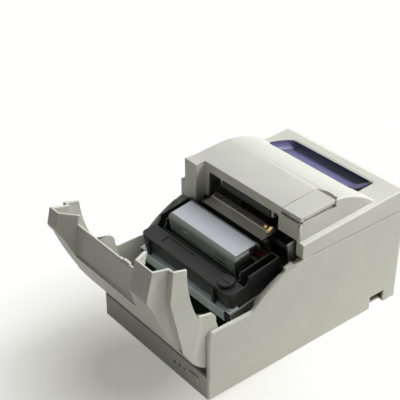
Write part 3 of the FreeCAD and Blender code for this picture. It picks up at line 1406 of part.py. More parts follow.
def make_inside():
    well = piece("paper_well", case_frame)
    middle = ("well_y", "well_z")
    add_disc(well, "YZ_Plane", "-well_half", "well_half", middle, "well_radius + well_wall")
    cut_disc(well, "YZ_Plane", "-well_half + well_wall", "well_half - well_wall", middle, "well_radius")
    cut(well, "YZ_Plane", "-well_half", "well_half", box(
        "well_y - 2 * well_radius", "well_top", "well_y + 2 * well_radius", "well_z + 2 * well_radius"))
    for low, high in mirrored("well_half - 3 * leg_thick", "well_half - 2 * leg_thick"):
        add(well, "YZ_Plane", low, high, box(
            "well_y - leg_depth", floor_top, "well_y", "well_z - well_radius - well_wall / 4"))
    board = piece("main_board", case_frame)
    add(board, "XY_Plane", "board_z", "board_z + board_thick", box(
        "-board_half", "board_front", "board_half", "board_rear"))
    card = piece("interface_board", case_frame)
    add(card, "XY_Plane", "card_z", "card_z + board_thick", box(
        "-card_half", "card_front", "card_half", rear_inside + " - case_wall"))
    panel = piece("rear_panel", case_frame)
    add(panel, "XZ_Plane", rear_inside, rear_inside + " + panel_thick", box(
        "-panel_half + slide_clearance", "panel_low + slide_clearance", "panel_half - slide_clearance",
        "panel_high - slide_clearance"))
    card_top = "card_z + board_thick"
    sockets = (("dc_inlet", "inlet_x", "inlet_width"), ("drawer_jack", "jack_x", "jack_width"),
               ("data_port", "-port_x", "port_width"))
    for name, x, width in sockets:
        left = "%s - %s / 2" % (x, width)
        right = "%s + %s / 2" % (x, width)
        cut(panel, "XZ_Plane", rear_inside, rear_inside + " + panel_thick", box(
            left + " - slide_clearance", card_top + " - seam_gap", right + " + slide_clearance",
            card_top + " + socket_height + slide_clearance"))
        body = piece(name, case_frame)
        add(body, "XZ_Plane", rear_inside + " - socket_depth", rear_inside + " + panel_thick", box(
            left, card_top, right, card_top + " + socket_height"))
        inner = "%s / 2 - socket_wall" % width
        cut(body, "XZ_Plane", rear_inside + " - socket_depth / 2", rear_inside + " + 2 * panel_thick", box(
            "%s - (%s)" % (x, inner), card_top + " + socket_wall", "%s + %s" % (x, inner),
            card_top + " + socket_height - socket_wall"))
        if name == "dc_inlet":
            add_disc(body, "XZ_Plane", rear_inside + " - socket_depth", rear_inside,
                     (x, card_top + " + socket_height / 2"), "socket_wall")


def make_switch():
    housing = piece("switch_housing", case_frame)
    wall_face = "-(%s)" % inside
    inner_face = wall_face + " + switch_depth"
    add(housing, "YZ_Plane", wall_face, inner_face, box(
        "switch_y - switch_wall", "switch_z - switch_wall", "switch_y + switch_width + switch_wall",
        "switch_z + switch_height + switch_wall"))
    cut(housing, "YZ_Plane", wall_face, inner_face + " - switch_wall", box(
        "switch_y", "switch_z", "switch_y + switch_width", "switch_z + switch_height"))
    axis = (wall_face + " + 2 * switch_wall", "switch_z + switch_height / 2")
    cut_disc(housing, "XZ_Plane", "switch_y - switch_wall", "switch_y + switch_width + switch_wall", axis,
             "switch_pin + slide_clearance")
    rocker = piece("power_switch", case_frame)
    low = "switch_z + 2 * switch_gap"
    high = "switch_z + switch_height - 2 * switch_gap"
    add(rocker, "XZ_Plane", "switch_y + switch_gap", "switch_y + switch_width - switch_gap", [
        ("-(%s) - switch_proud" % half, low),
        (axis[0], low),
        (axis[0] + " + 2 * switch_pin", axis[1]),
        (axis[0], high),
        ("-(%s) - switch_proud" % half, high, "-switch_proud"),
    ])
    add_disc(rocker, "XZ_Plane", "switch_y - switch_wall", "switch_y + switch_width + switch_wall", axis,
             "switch_pin")


make_lower_case()
make_feet()
make_front_cover()
make_cover_fittings()
make_roll_cover()
make_roll_fittings()
make_side_frames()
make_plate()
make_hood()
make_carriage()
make_paper_path()
make_drive()
make_cassette_seat()
make_cassette()
make_inside()
make_switch()
for item in nodes:
    item.Tip.Refine = True
doc.recompute()
doc.removeObject("trial")


def check_document():
    # Every object computed, every cut took something away, and every node is one valid solid.
    for item in doc.Objects:
        if "Invalid" in item.State or "Error" in item.State:
            raise RuntimeError("%s failed" % item.Label)
        if item.TypeId == "PartDesign::Pocket" and item.Shape.Volume > item.BaseFeature.Shape.Volume - 1e-3:
            raise RuntimeError("%s in %s cuts nothing" % (item.Label, item.getParentGeoFeatureGroup().Label))
    for item in nodes:
        if item.Shape.isNull() or not item.Shape.isValid():
            raise RuntimeError("%s has no valid shape" % item.Label)


def write_nodes():
    os.makedirs("parts", exist_ok=True)
    for item in nodes:
        item.Shape.exportStep("parts/%s.step" % item.Label)
        limits = item.Shape.BoundBox
        print("%-20s %d solid, X %.1f %.1f, Y %.1f %.1f, Z %.1f %.1f" % (
            item.Label, len(item.Shape.Solids), limits.XMin, limits.XMax, limits.YMin, limits.YMax,
            limits.ZMin, limits.ZMax))


check_document()
write_nodes()
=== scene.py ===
import json
import math

import bmesh
import bpy
import numpy as np
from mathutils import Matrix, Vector


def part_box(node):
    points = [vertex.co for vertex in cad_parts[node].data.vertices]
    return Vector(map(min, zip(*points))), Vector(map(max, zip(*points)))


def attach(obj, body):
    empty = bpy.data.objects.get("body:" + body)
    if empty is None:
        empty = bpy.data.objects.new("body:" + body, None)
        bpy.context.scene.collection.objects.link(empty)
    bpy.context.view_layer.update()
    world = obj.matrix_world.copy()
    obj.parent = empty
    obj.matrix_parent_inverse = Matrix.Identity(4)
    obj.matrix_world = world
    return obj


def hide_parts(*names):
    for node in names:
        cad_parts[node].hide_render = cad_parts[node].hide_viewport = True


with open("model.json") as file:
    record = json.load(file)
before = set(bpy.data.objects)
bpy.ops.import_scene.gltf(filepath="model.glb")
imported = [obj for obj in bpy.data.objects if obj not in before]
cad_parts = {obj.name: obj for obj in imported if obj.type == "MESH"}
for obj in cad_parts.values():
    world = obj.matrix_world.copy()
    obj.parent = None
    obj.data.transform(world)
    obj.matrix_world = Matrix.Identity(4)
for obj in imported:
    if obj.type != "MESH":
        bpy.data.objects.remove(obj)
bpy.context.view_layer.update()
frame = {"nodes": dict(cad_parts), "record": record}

mm = 0.001                       # sizes of pieces are in mm, those of materials and stage in m
frontToOrigin = 94.45            # case front face to the frame's origin
tilt = math.radians(9)           # lean of the mechanism plate
plateAt = (32.8, 73.2)           # where that plate starts, from the case front and the table
hingeAt = (11, 48)               # front cover hinge, measured likewise
openAngle = math.radians(76)     # how far the front cover stands open


class Flow:
    # One shader socket. Arithmetic on it makes Math nodes; node() makes any other node.
    def __init__(self, tree, socket):
        self.tree = tree
        self.socket = socket

    def calc(self, kind, *others):
        made = self.tree.nodes.new("ShaderNodeMath")
        made.operation = kind
        for place, item in enumerate((self,) + others):
            link(self.tree, item, made.inputs[place])
        return Flow(self.tree, made.outputs[0])

    def node(self, kind, out=0, settings=None, **inputs):
        made = self.tree.nodes.new(kind)
        for key, item in (settings or {}).items():
            setattr(made, key, item)
        for key, item in inputs.items():
            link(self.tree, item, made.inputs[key.replace("_", " ")])
        return Flow(self.tree, made.outputs[out])

    def __add__(self, other):
        return self.calc("ADD", other)

    def __sub__(self, other):
        return self.calc("SUBTRACT", other)

    def __rsub__(self, other):
        return self.calc("MULTIPLY_ADD", -1.0, other)

    def __mul__(self, other):
        return self.calc("MULTIPLY", other)

    __radd__ = __add__
    __rmul__ = __mul__

    def step(self, low, high):
        # 0 below low, 1 above high, straight between
        return self.node("ShaderNodeMapRange", Value=self, From_Min=low, From_Max=high)

    def blend(self, first, second):
        # colour between two colours by this factor; the sockets share names, so they go by number
        mixed = self.node("ShaderNodeMix", 2, {"data_type": "RGBA"})
        for place, item in ((0, self), (6, first), (7, second)):
            link(self.tree, item, mixed.socket.node.inputs[place])
        return mixed

    def part(self, axis):
        # one coordinate of a vector: 0, 1 or 2
        return self.node("ShaderNodeSeparateXYZ", axis, Vector=self)


def link(tree, item, socket):
    if isinstance(item, Flow):
        tree.links.new(item.socket, socket)
    elif isinstance(item, tuple) and len(item) == 3 and socket.type == "RGBA":
        socket.default_value = item + (1.0,)
    else:
        socket.default_value = item


def shader(name):
    # A new material with its Principled shader and its object coordinates.
    made = bpy.data.materials.new(name)
    made.use_nodes = True
    tree = made.node_tree
    coords = tree.nodes.new("ShaderNodeTexCoord")
    return made, tree.nodes["Principled BSDF"], Flow(tree, coords.outputs["Object"])


def feed(principled, place, **values):
    # values or flows into the Principled sockets of the same name
    for key, item in values.items():
        link(place.tree, item, principled.inputs[key.replace("_", " ")])


def noise(place, scale, detail=2.0, rough=0.5):
    return place.node("ShaderNodeTexNoise", Vector=place, Scale=scale, Detail=detail,
                      Roughness=rough)


def bumped(place, height, strength, distance):
    return place.node("ShaderNodeBump", Height=height, Strength=strength, Distance=distance)


def tone(colour, factor):
    return tuple(min(1.0, part * factor) for part in colour)


noiseSpan = (0.3, 0.7)      # where most values of a noise lie
# of materials: rough is the least roughness and its change, bump a strength and a height
moulding = {"drift": 26.0, "mottle": 420.0, "driftShare": 0.7, "sparkHeight": 0.00008,
            "smoother": 0.06, "sparkRough": 0.12, "driftRough": 0.04, "specular": 0.4}
rolling = {"stain": 45.0, "streakShare": 0.6, "dark": 0.86, "light": 1.08, "streakHeight": 0.00005,
           "smoother": 0.1, "streakRough": 0.14, "stainRough": 0.08, "depth": 0.1}


def plastic(name, colour, rough, grain, depth, dirt):
    # Moulded plastic: spark texture, slow tone drift, a little grime in the drift's lows.
    made, principled, place = shader(name)
    drift = noise(place, moulding["drift"], detail=3.0)
    spark = noise(place, grain, detail=1.0)
    share = moulding["driftShare"]
    mottle = (drift * share + noise(place, moulding["mottle"]) * (1 - share)).step(*noiseSpan)
    feed(principled, place,
         Base_Color=mottle.blend(tone(colour, 1 - dirt), tone(colour, 1 + dirt / 2)),
         Roughness=(rough - moulding["smoother"] + spark * moulding["sparkRough"]
                    + drift * moulding["driftRough"]),
         Normal=bumped(place, spark, depth, moulding["sparkHeight"]),
         Specular_IOR_Level=moulding["specular"])
    return made


def metal(name, colour, rough, along, grain, metallic):
    # Rolled or drawn metal: streaks stretched along one axis, and stains.
    made, principled, place = shader(name)
    stretched = place.node("ShaderNodeMapping", Vector=place, Scale=along)
    streak = noise(stretched, grain, detail=4.0, rough=0.6)
    stain = noise(place, rolling["stain"], detail=3.0)
    share = rolling["streakShare"]
    mottle = (streak * share + stain * (1 - share)).step(*noiseSpan)
    feed(principled, place,
         Base_Color=mottle.blend(tone(colour, rolling["dark"]), tone(colour, rolling["light"])),
         Roughness=(rough - rolling["smoother"] + streak * rolling["streakRough"]
                    + stain * rolling["stainRough"]),
         Normal=bumped(place, streak, rolling["depth"], rolling["streakHeight"]),
         Metallic=metallic)
    return made


plastics = {   # colour, roughness, scale and depth of the grain, grime
    "casePlastic": ((0.66, 0.665, 0.59), 0.42, 2600.0, 0.25, 0.06),
    "coverPlastic": ((0.68, 0.685, 0.615), 0.42, 2600.0, 0.25, 0.06),
    "blackPlastic": ((0.012, 0.012, 0.0125), 0.42, 1800.0, 0.2, 0.2),
    "gearPlastic": ((0.66, 0.65, 0.58), 0.36, 1500.0, 0.1, 0.06),
    "footRubber": ((0.03, 0.03, 0.03), 0.8, 900.0, 0.5, 0.2),
    "rollerRubber": ((0.022, 0.022, 0.023), 0.62, 1400.0, 0.3, 0.2),
    "chipBlack": ((0.016, 0.016, 0.017), 0.5, 2400.0, 0.15, 0.2),
    "knobPlastic": ((0.014, 0.014, 0.015), 0.36, 1600.0, 0.2, 0.2),
    "filmFinish": ((0.80, 0.80, 0.89), 0.34, 700.0, 0.06, 0.03),
}
metals = {   # colour, roughness, stretch of the streaks, their scale, metallic
    "plateMetal": ((0.46, 0.55, 0.56), 0.46, (6, 40, 40), 60.0, 0.55),
    "hoodMetal": ((0.22, 0.235, 0.215), 0.5, (3, 40, 40), 50.0, 0.35),
    "steel": ((0.52, 0.52, 0.50), 0.32, (1, 40, 40), 60.0, 1.0),
    "guideMetal": ((0.25, 0.235, 0.205), 0.4, (4, 60, 60), 50.0, 0.6),
    "headMetal": ((0.30, 0.30, 0.30), 0.4, (40, 4, 40), 50.0, 0.8),
    "brass": ((0.70, 0.50, 0.22), 0.3, (1, 40, 40), 60.0, 1.0),
    "screwSteel": ((0.60, 0.60, 0.58), 0.28, (20, 20, 20), 90.0, 1.0),
    "canFinish": ((0.42, 0.42, 0.44), 0.3, (30, 30, 3), 60.0, 0.85),
}
smoked = {   # rear and right: spans along Y and X over which painted shade darkens the pane towards its rear wall and right end
    "tints": ((0.125, 0.12, 0.255), (0.145, 0.14, 0.285)), "well": (0.022, 0.022, 0.03),
    "rear": (0.1215, 0.1275), "right": (-0.05, 0.02), "wellShare": (0.4, 0.5), "drift": 30.0,
    "rough": (0.3, 0.12), "bump": (0.05, 0.0002), "specular": 0.3}


def makePane(name):
    # Smoked pane: violet tint, deeper where the noise says the moulding is thicker, and painted
    # shade that makes it nearly black along its upturned rear, more so to the right.
    made, principled, place = shader(name)
    drift = noise(place, smoked["drift"])
    # masks of the painted shade: towards the rear wall, and more of it to the right
    rear = place.part(1).step(*smoked["rear"])
    right = place.part(0).step(*smoked["right"])
    least, more = smoked["wellShare"]
    tint = drift.step(*noiseSpan).blend(*smoked["tints"])
    smooth, change = smoked["rough"]
    feed(principled, place,
         Base_Color=(rear * (least + right * more)).blend(tint, smoked["well"]),
         Roughness=smooth + drift * change,
         Normal=bumped(place, drift, *smoked["bump"]),
         Specular_IOR_Level=smoked["specular"])
    return made


# tints: a board green darkened nearly to black, painted shade of the dim space inside the case
mask = {"tints": ((0.006, 0.03, 0.015), (0.012, 0.05, 0.025)), "tracks": 260.0, "gap": 0.06,
        "edge": (0.4, 0.6), "cloud": 300.0, "rough": (0.25, 0.15), "bump": (0.2, 0.00005)}


def makeBoard(name):
    # Circuit board: solder mask with copper tracks below it; the mask's green is darkened nearly to
    # black, painted shade of the dim space inside the case.
    made, principled, place = shader(name)
    tracks = place.node("ShaderNodeTexBrick", 1, Vector=place, Scale=mask["tracks"],
                        Mortar_Size=mask["gap"])
    smooth, change = mask["rough"]
    feed(principled, place,
         Base_Color=tracks.step(*mask["edge"]).blend(*mask["tints"]),
         Roughness=smooth + noise(place, mask["cloud"]) * change,
         Normal=bumped(place, tracks, *mask["bump"]))
    return made


cloth = {"red": (0.42, 0.035, 0.03), "black": (0.012, 0.011, 0.012), "bleed": 0.0002,
         "weave": 900.0, "stray": 0.4, "rough": (0.6, 0.2), "bump": (0.3, 0.00005)}


def makeRibbon(name):
    # Inked ribbon: fine weave, black above and red below its middle.
    made, principled, place = shader(name)
    upright = place.node("ShaderNodeVectorRotate", 0, {"rotation_type": "X_AXIS"}, Vector=place,
                         Angle=-tilt)
    weave = place.node("ShaderNodeTexWave", 1, Vector=upright, Scale=cloth["weave"],
                       Distortion=cloth["stray"])
    low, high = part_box("ribbon")
    middleY, middleZ = (high[1] + low[1]) / 2, (high[2] + low[2]) / 2
    middle = middleZ * math.cos(tilt) - middleY * math.sin(tilt)
    above = upright.part(2).step(middle - cloth["bleed"], middle + cloth["bleed"])
    smooth, change = cloth["rough"]
    feed(principled, place,
         Base_Color=above.blend(cloth["red"], cloth["black"]),
         Roughness=smooth + weave * change,
         Normal=bumped(place, weave, *cloth["bump"]))
    return made


lens = {"tints": ((0.05, 0.16, 0.05), (0.09, 0.26, 0.08)), "drift": 400.0, "rough": (0.12, 0.1),
        "coat": 0.5}


def makeLights(name):
    # Status lights: clear green plastic, not lit.
    made, principled, place = shader(name)
    drift = noise(place, lens["drift"])
    smooth, change = lens["rough"]
    feed(principled, place, Base_Color=drift.blend(*lens["tints"]),
         Roughness=smooth + drift * change, Coat_Weight=lens["coat"])
    return made


looks = {name: plastic(name, *values) for name, values in plastics.items()}
looks.update({name: metal(name, *values) for name, values in metals.items()})
for name, maker in (("smokedPane", makePane), ("boardMask", makeBoard),
                    ("ribbonCloth", makeRibbon), ("lightPlastic", makeLights)):
    looks[name] = maker(name)
slotLooks = {
    "case_plastic": "casePlastic", "cover_plastic": "coverPlastic", "black_plastic": "blackPlastic",
    "smoked_pane": "smokedPane", "plate_metal": "plateMetal", "hood_metal": "hoodMetal",
    "steel": "steel", "roller_rubber": "rollerRubber", "foot_rubber": "footRubber",
    "gear_plastic": "gearPlastic", "board": "boardMask", "head_metal": "headMetal",
    "guide_metal": "guideMetal", "ribbon_cloth": "ribbonCloth", "light_plastic": "lightPlastic",
}
record = frame["record"]
slotOf = {entry["node"]: entry["material_slot"] for entry in record["subparts"]}
bodyOf = {node: body for body, nodes in record["behaviour"]["bodies"].items() for node in nodes}
for node, slot in slotOf.items():
    materials = bpy.data.objects[node].data.materials
    materials.clear()
    materials.append(looks[slotLooks[slot]])
print("materials assigned")

softEdges = {   # moulded or broken edge radius of each piece
    "front_cover": 0.7, "lower_case": 0.7, "roll_cover": 0.7, "open_lever": 0.5,
    "cassette_tray": 0.4, "cassette_lid": 0.4, "head_cover": 0.4, "cassette_plate": 0.3,
    "cassette_base": 0.35, "drive_housing": 0.5, "left_rest": 0.4, "rear_panel": 0.3,
    "power_switch": 0.3, "switch_housing": 0.3, "dc_inlet": 0.3, "data_port": 0.25,
    "drawer_jack": 0.3, "feed_button": 0.4, "print_head": 0.4, "carriage": 0.3, "platen": 0.3,
    "paper_guide": 0.2, "side_frame_left": 0.2, "side_frame_right": 0.2, "paper_well": 0.4,
    "feed_motor": 0.3, "guide_rail": 0.2,
}
broadEdges = {   # edges with a larger radius: box from the case front that holds both ends, radius
    "roll_cover": ((-59, 225.5, 127.0), (53, 226.5, 129.5), 4.0),
}
keptSharp = {   # edges that stay sharp: box that holds an end or both, with X without its sign
    "front_cover": ((71.0, -21.0, 60.0), (72.0, -14.0, 69.0)),
}
edgeRule = {   # merge in m; room: least width of a face in radii; flatShare: rule of large faces
    "merge": 4e-6, "flat": math.radians(0.6), "turn": math.radians(28), "room": 2.2,
    "steps": 2, "broadSteps": 4, "flatShare": 90}


def inBox(spots, low, high):
    return ((spots > low) & (spots < high)).all(1)


def edgeWeights(node, mesh, radius):
    # Cleans the mesh, and gives the share of the widest radius that each edge gets. An edge is
    # rounded where its faces turn outwards far enough and each is wide enough to hold the arc: a
    # face's width is twice its area over its outline.
    work = bmesh.new()
    work.from_mesh(mesh)
    bmesh.ops.remove_doubles(work, verts=work.verts, dist=edgeRule["merge"])
    bmesh.ops.dissolve_limit(work, angle_limit=edgeRule["flat"], verts=work.verts, edges=work.edges)
    turn = np.array([edge.calc_face_angle_signed(0.0) if edge.is_manifold else 0.0
                     for edge in work.edges])
    wide = {face: 2 * face.calc_area() / max(face.calc_perimeter(), 1e-9) for face in work.faces}
    room = np.array([min((wide[face] for face in edge.link_faces), default=0.0)
                     for edge in work.edges])
    work.to_mesh(mesh)
    work.free()
    rounded = (turn > edgeRule["turn"]) & (room > edgeRule["room"] * radius * mm)
    weight = np.where(rounded, 1.0, 0.0)
    widest = radius
    spots = np.array([vertex.co[:] for vertex in mesh.vertices]) / mm
    spots += np.array([0, frontToOrigin, 0])
    ends = np.array([edge.vertices[:] for edge in mesh.edges])
    if node in broadEdges:
        low, high, widest = broadEdges[node]
        weight = np.where(inBox(spots, low, high)[ends].all(1), 1.0, weight * radius / widest)
    if node in keptSharp:
        spots[:, 0] = np.abs(spots[:, 0])
        weight[inBox(spots, *keptSharp[node])[ends].any(1)] = 0.0
    return weight, widest


def shadeSmooth(mesh, sharp):
    # smooth faces, with sharp edges where they meet at more than this angle
    mesh.polygons.foreach_set("use_smooth", np.ones(len(mesh.polygons), bool))
    mesh.set_sharp_from_angle(angle=sharp)


def addObject(name, data):
    made = bpy.data.objects.new(name, data)
    bpy.context.collection.objects.link(made)
    return made


def soften(node, radius):
    # A copy of the node with its outer edges rounded; flat faces stay flat beside the arcs.
    mesh = frame["nodes"][node].data.copy()
    weight, widest = edgeWeights(node, mesh, radius)
    marks = mesh.attributes.new("bevel_weight_edge", "FLOAT", "EDGE")
    marks.data.foreach_set("value", weight.astype(np.float32))
    shadeSmooth(mesh, edgeRule["turn"])
    made = addObject("soft_" + node, mesh)
    arc = made.modifiers.new("edges", "BEVEL")
    arc.limit_method = "WEIGHT"
    arc.offset_type = "OFFSET"
    arc.width = widest * mm
    arc.segments = edgeRule["broadSteps" if node in broadEdges else "steps"]
    arc.use_clamp_overlap = False
    even = made.modifiers.new("shading", "WEIGHTED_NORMAL")
    even.keep_sharp = True
    even.weight = edgeRule["flatShare"]
    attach(made, bodyOf[node])
    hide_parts(node)


for node, radius in softEdges.items():
    soften(node, radius)
print("edges softened")


mergeGap = 1e-6      # points of a piece nearer than this, in m, are one


def gridFaces(rows, columns, looped):
    # the four corners of every cell of a grid; in a looped grid each row's end joins its start
    index = np.arange(rows * columns).reshape(rows, columns)
    if looped:
        index = np.hstack([index, index[:, :1]])
    corners = [index[:-1, :-1], index[:-1, 1:], index[1:, 1:], index[1:, :-1]]
    return np.stack(corners, -1).reshape(-1, 4)


def finishPiece(name, grids, look, body, replaced=(), sharp=38):
    # One object from (grid of points in mm, looped) pairs: poles and seams merged, faces outwards,
    # smooth below the sharp angle.
    points, faces, start = [], [], 0
    for grid, looped in grids:
        rows, columns = grid.shape[:2]
        points.append(grid.reshape(-1, 3))
        faces.append(gridFaces(rows, columns, looped) + start)
        start += rows * columns
    mesh = bpy.data.meshes.new(name)
    mesh.from_pydata((np.concatenate(points) * mm).tolist(), [], np.concatenate(faces).tolist())
    work = bmesh.new()
    work.from_mesh(mesh)
    bmesh.ops.remove_doubles(work, verts=work.verts, dist=mergeGap)
    bmesh.ops.recalc_face_normals(work, faces=work.faces)
    work.to_mesh(mesh)
    work.free()
    shadeSmooth(mesh, math.radians(sharp))
    mesh.materials.append(looks[look])
    made = addObject(name, mesh)
    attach(made, body)
    if replaced:
        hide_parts(*replaced)


def leaning(angle):
    # axes turned about X by this angle
    return np.array([[1, 0, 0], [0, math.cos(angle), math.sin(angle)],
                     [0, -math.sin(angle), math.cos(angle)]])


# axes of a piece, as rows: across, along and out
plain = np.eye(3)
plateAxes = leaning(tilt)
coverAxes = leaning(openAngle)
rearward = np.array([[-1.0, 0, 0], [0, 0, 1], [0, 1, 0]])


def onCase(x, y, z):
    # a point given from the case front and the table
    return np.array([x, y - frontToOrigin, z])


def onMech(x, along, above):
    # a point given along and above the leaning plate
    return onCase(0, *plateAt) + np.array([x, along, above]) @ plateAxes


def onCover(x, y, z):
    # a point of the shut front cover, carried to where the open cover has it
    return onCase(0, *hingeAt) + np.array([x, y - hingeAt[0], z - hingeAt[1]]) @ coverAxes


def circle(count):
    return np.linspace(0, 2 * np.pi, count, endpoint=False)


def ringOf(count):
    # points of a circle of radius 1
    return np.stack([np.cos(circle(count)), np.sin(circle(count))], -1)


def turned(rows, at, axes, count=32, wave=0.0, waves=1, waveFrom=0.6):
    # Rows of (radius, height) turned about the third axis; beyond a share of the largest radius
    # the wave ripples it as a cosine round the axis.
    around = circle(count)
    radius, height = np.array(rows, float).T[:, :, None]
    ripple = radius + wave * (radius > waveFrom * radius.max()) * np.cos(waves * around)
    local = [ripple * np.cos(around), ripple * np.sin(around), height + 0 * around]
    return at + np.stack(local, -1) @ axes, True


def pressed(rows, size, corner, at, axes, count=5, least=0.02):
    # Rings of a rounded rectangle: each row (inset, height) draws the outline in, with no corner
    # below the least radius, and lifts it; the ends close to the middle.
    quarter = np.linspace(0, np.pi / 2, count)
    turn = np.concatenate([quarter + k * np.pi / 2 for k in range(4)])
    sides = np.repeat([[1, -1, -1, 1], [1, 1, -1, -1]], count, 1)
    inset, height = np.array(rows, float).T[:, :, None]
    radius = np.maximum(corner - inset, least)
    x, y = (np.maximum(length / 2 - inset - radius, 0) * side for length, side in zip(size, sides))
    rings = np.stack([x + radius * np.cos(turn), y + radius * np.sin(turn), height + 0 * turn], -1)
    ends = [np.array([0, 0, rows[k][1]]) + 0 * rings[:1] for k in (0, -1)]
    return at + np.concatenate([ends[0], rings, ends[1]]) @ axes, True


nearX = np.array([1.0, 0.02, 0.03])      # close to the X axis, and along no path


def swept(path, ring):
    # A ring of (side, up) offsets carried along a path: up is square to the path and to nearX, side
    # is square to the path and to up.
    along = np.gradient(path, axis=0)
    along /= np.linalg.norm(along, axis=1)[:, None]
    up = np.cross(along, nearX)
    up /= np.linalg.norm(up, axis=1)[:, None]
    side = np.cross(up, along)
    grid = path[:, None] + ring[None, :, :1] * side[:, None] + ring[None, :, 1:] * up[:, None]
    ends = [grid[k:k + 1].mean(1, keepdims=True) + 0 * grid[:1] for k in (0, len(path) - 1)]
    return np.concatenate([ends[0], grid, ends[1]]), True


def sheet(top, thick):
    # A grid with a second one below it and strips round the four edges.
    low = top - np.array([0, 0, thick])
    edges = [(top[0], low[0]), (top[-1], low[-1]), (top[:, 0], low[:, 0]), (top[:, -1], low[:, -1])]
    return [(grid, False) for grid in [top, low] + [np.stack(pair) for pair in edges]]


panHead = {   # shares of the head's radius
    "rings": [0.0, 0.1, 0.2, 0.3, 0.4, 0.5, 0.6, 0.7, 0.8, 0.92, 1.0, 1.0], "foot": 0.12,
    "dome": 0.42, "spread": 1.08, "armWide": 0.17, "armLong": 0.66, "recess": 0.14, "sunk": 0.15,
    "points": 48}


def screw(at, axes, radius):
    # Pan head with a cross recess: part of an ellipse turned round, lowered where a point lies in
    # either arm of the cross.
    def inArm(across, along):
        return (np.abs(across) < panHead["armWide"]) & (np.abs(along) < panHead["armLong"])

    around = circle(panHead["points"])
    reach = np.array(panHead["rings"])[:, None]
    x, y = reach * np.cos(around), reach * np.sin(around)
    bulge = np.sqrt(np.maximum(1 - (reach / panHead["spread"]) ** 2, 0.0))
    dome = panHead["dome"] * bulge + panHead["foot"] + 0 * x
    height = np.where(inArm(x, y) | inArm(y, x), panHead["recess"], dome)
    height[-1] = -panHead["sunk"]
    return at + radius * np.stack([x, y, height], -1) @ axes, True


tear = {"low": 136.2, "high": 142.4, "front": 110.55, "rear": 111.45, "left": -49.2, "right": 43.2,
        "pitch": 1.5, "tooth": 0.9, "bevel": 0.25}


def makeTearBar():
    # Steel strip whose lower edge is a triangle wave along X.
    teeth = int((tear["right"] - tear["left"]) / tear["pitch"])
    x = np.linspace(tear["left"], tear["right"], 2 * teeth + 1)
    low = tear["low"] + tear["tooth"] * (np.arange(len(x)) % 2)
    high = np.full(len(x), tear["high"])
    front, rear = tear["front"] - frontToOrigin, tear["rear"] - frontToOrigin
    edges = [(front, low), (rear, low + tear["bevel"]), (rear, high), (front, high)]
    grid = np.stack([np.stack([x, np.full(len(x), y), z], -1) for y, z in edges], 1)
    caps = [(grid[k][[0, 1, 3, 2]].reshape(2, 2, 3), False) for k in (0, -1)]
    finishPiece("tearStrip", [(grid, True)] + caps, "steel", "roll_cover", ["tear_bar"],
                sharp=20)


knob = {   # rim: radius and depth below the top
    "at": (50, 15), "top": 21.6, "foot": 1.7, "stem": 4.5, "bore": 3.85, "boreTop": 9.5,
    "neck": 3.9, "flutes": 28, "flute": 0.22, "points": 112,
    "rim": [(6.8, 3.85), (7.4, 3.5), (7.6, 3.0), (7.6, 1.0), (7.35, 0.45), (6.8, 0.2), (6.0, 0.3),
            (5.5, 0.9), (0, 0.9)],
    "bar": [(0, 0), (0, 0.8), (0.3, 1.1)], "barSize": (10.2, 2.4), "barCorner": 1.1, "barFoot": 1.2}


def makeKnob():
    # Fluted knob: a turned profile with a rippled rim, a shallow dish and a finger bar, on a
    # socketed stem.
    top, stem, bore, foot = knob["top"], knob["stem"], knob["bore"], knob["foot"]
    rows = [(0, knob["boreTop"]), (bore, knob["boreTop"]), (bore, foot), (stem, foot),
            (stem, top - knob["neck"])]
    rows += [(radius, top - depth) for radius, depth in knob["rim"]]
    body = turned(rows, onMech(*knob["at"], 0), plateAxes, knob["points"], knob["flute"],
                  knob["flutes"])
    bar = pressed(knob["bar"], knob["barSize"], knob["barCorner"],
                  onMech(*knob["at"], top - knob["barFoot"]), plateAxes)
    finishPiece("flutedKnob", [body, bar], "knobPlastic", "ribbon_knob",
                ["ribbon_knob"])


pane = {   # front and rear: distance from the case front, height
    "left": -57.7, "right": 51.7, "front": (192.2, 128.6), "rear": (225.75, 119.6), "bow": 0.9,
    "thick": 1.8, "round": 7.5, "lift": 1.2, "flat": (-40, 34), "flatRear": 8,
    "points": (10, 9, 18), "ribs": (-50.4, 44.4), "rib": (0.9, 0.45), "ribPoints": 10, "ribStop": 3}


def paneHeight(x, y):
    # Height of the pane: a shallow parabola from its front to its rear edge, plus a quarter of an
    # ellipse that rises to the rear and end walls, by the distance from both in the corners.
    (frontY, frontZ), (rearY, rearZ) = pane["front"], pane["rear"]
    part = (y - frontY) / (rearY - frontY)
    floor = frontZ + (rearZ - frontZ) * part + 4 * pane["bow"] * part * (1 - part)
    size = pane["round"]
    side = np.maximum(size - np.minimum(x - pane["left"], pane["right"] - x), 0)
    back = np.maximum(size - (rearY - y), 0)
    reach = np.minimum(np.hypot(side, back), size)
    return floor + pane["lift"] * (size - np.sqrt(size ** 2 - reach ** 2))


def makeRollPane():
    # Smoked pane in the window, turned up at its rear and ends, with a dark sealing rib near each
    # end. The lines of its grid lie closer where it rises.
    rimCount, xCount, yCount = pane["points"]
    rim = pane["round"] * (1 - np.sin(np.linspace(0, np.pi / 2, rimCount)))
    frontY, rearY = pane["front"][0], pane["rear"][0]
    flatX = np.linspace(*pane["flat"], xCount)
    flatY = np.linspace(frontY, rearY - pane["flatRear"], yCount)
    x = np.concatenate([pane["left"] + rim[::-1], flatX, pane["right"] - rim])
    y = np.concatenate([flatY, rearY - rim])
    gridX, gridY = np.meshgrid(x, y)
    top = np.stack([gridX, gridY - frontToOrigin, paneHeight(gridX, gridY)], -1)
    finishPiece("windowPane", sheet(top, pane["thick"]), "smokedPane", "roll_cover",
                ["roll_window"])
    ring = ringOf(pane["ribPoints"]) * pane["rib"]
    y = y[:-pane["ribStop"]]
    paths = [np.column_stack([np.full(len(y), rib), y - frontToOrigin, paneHeight(rib, y)])
             for rib in pane["ribs"]]
    finishPiece("windowRibs", [swept(path, ring) for path in paths], "chipBlack", "roll_cover")


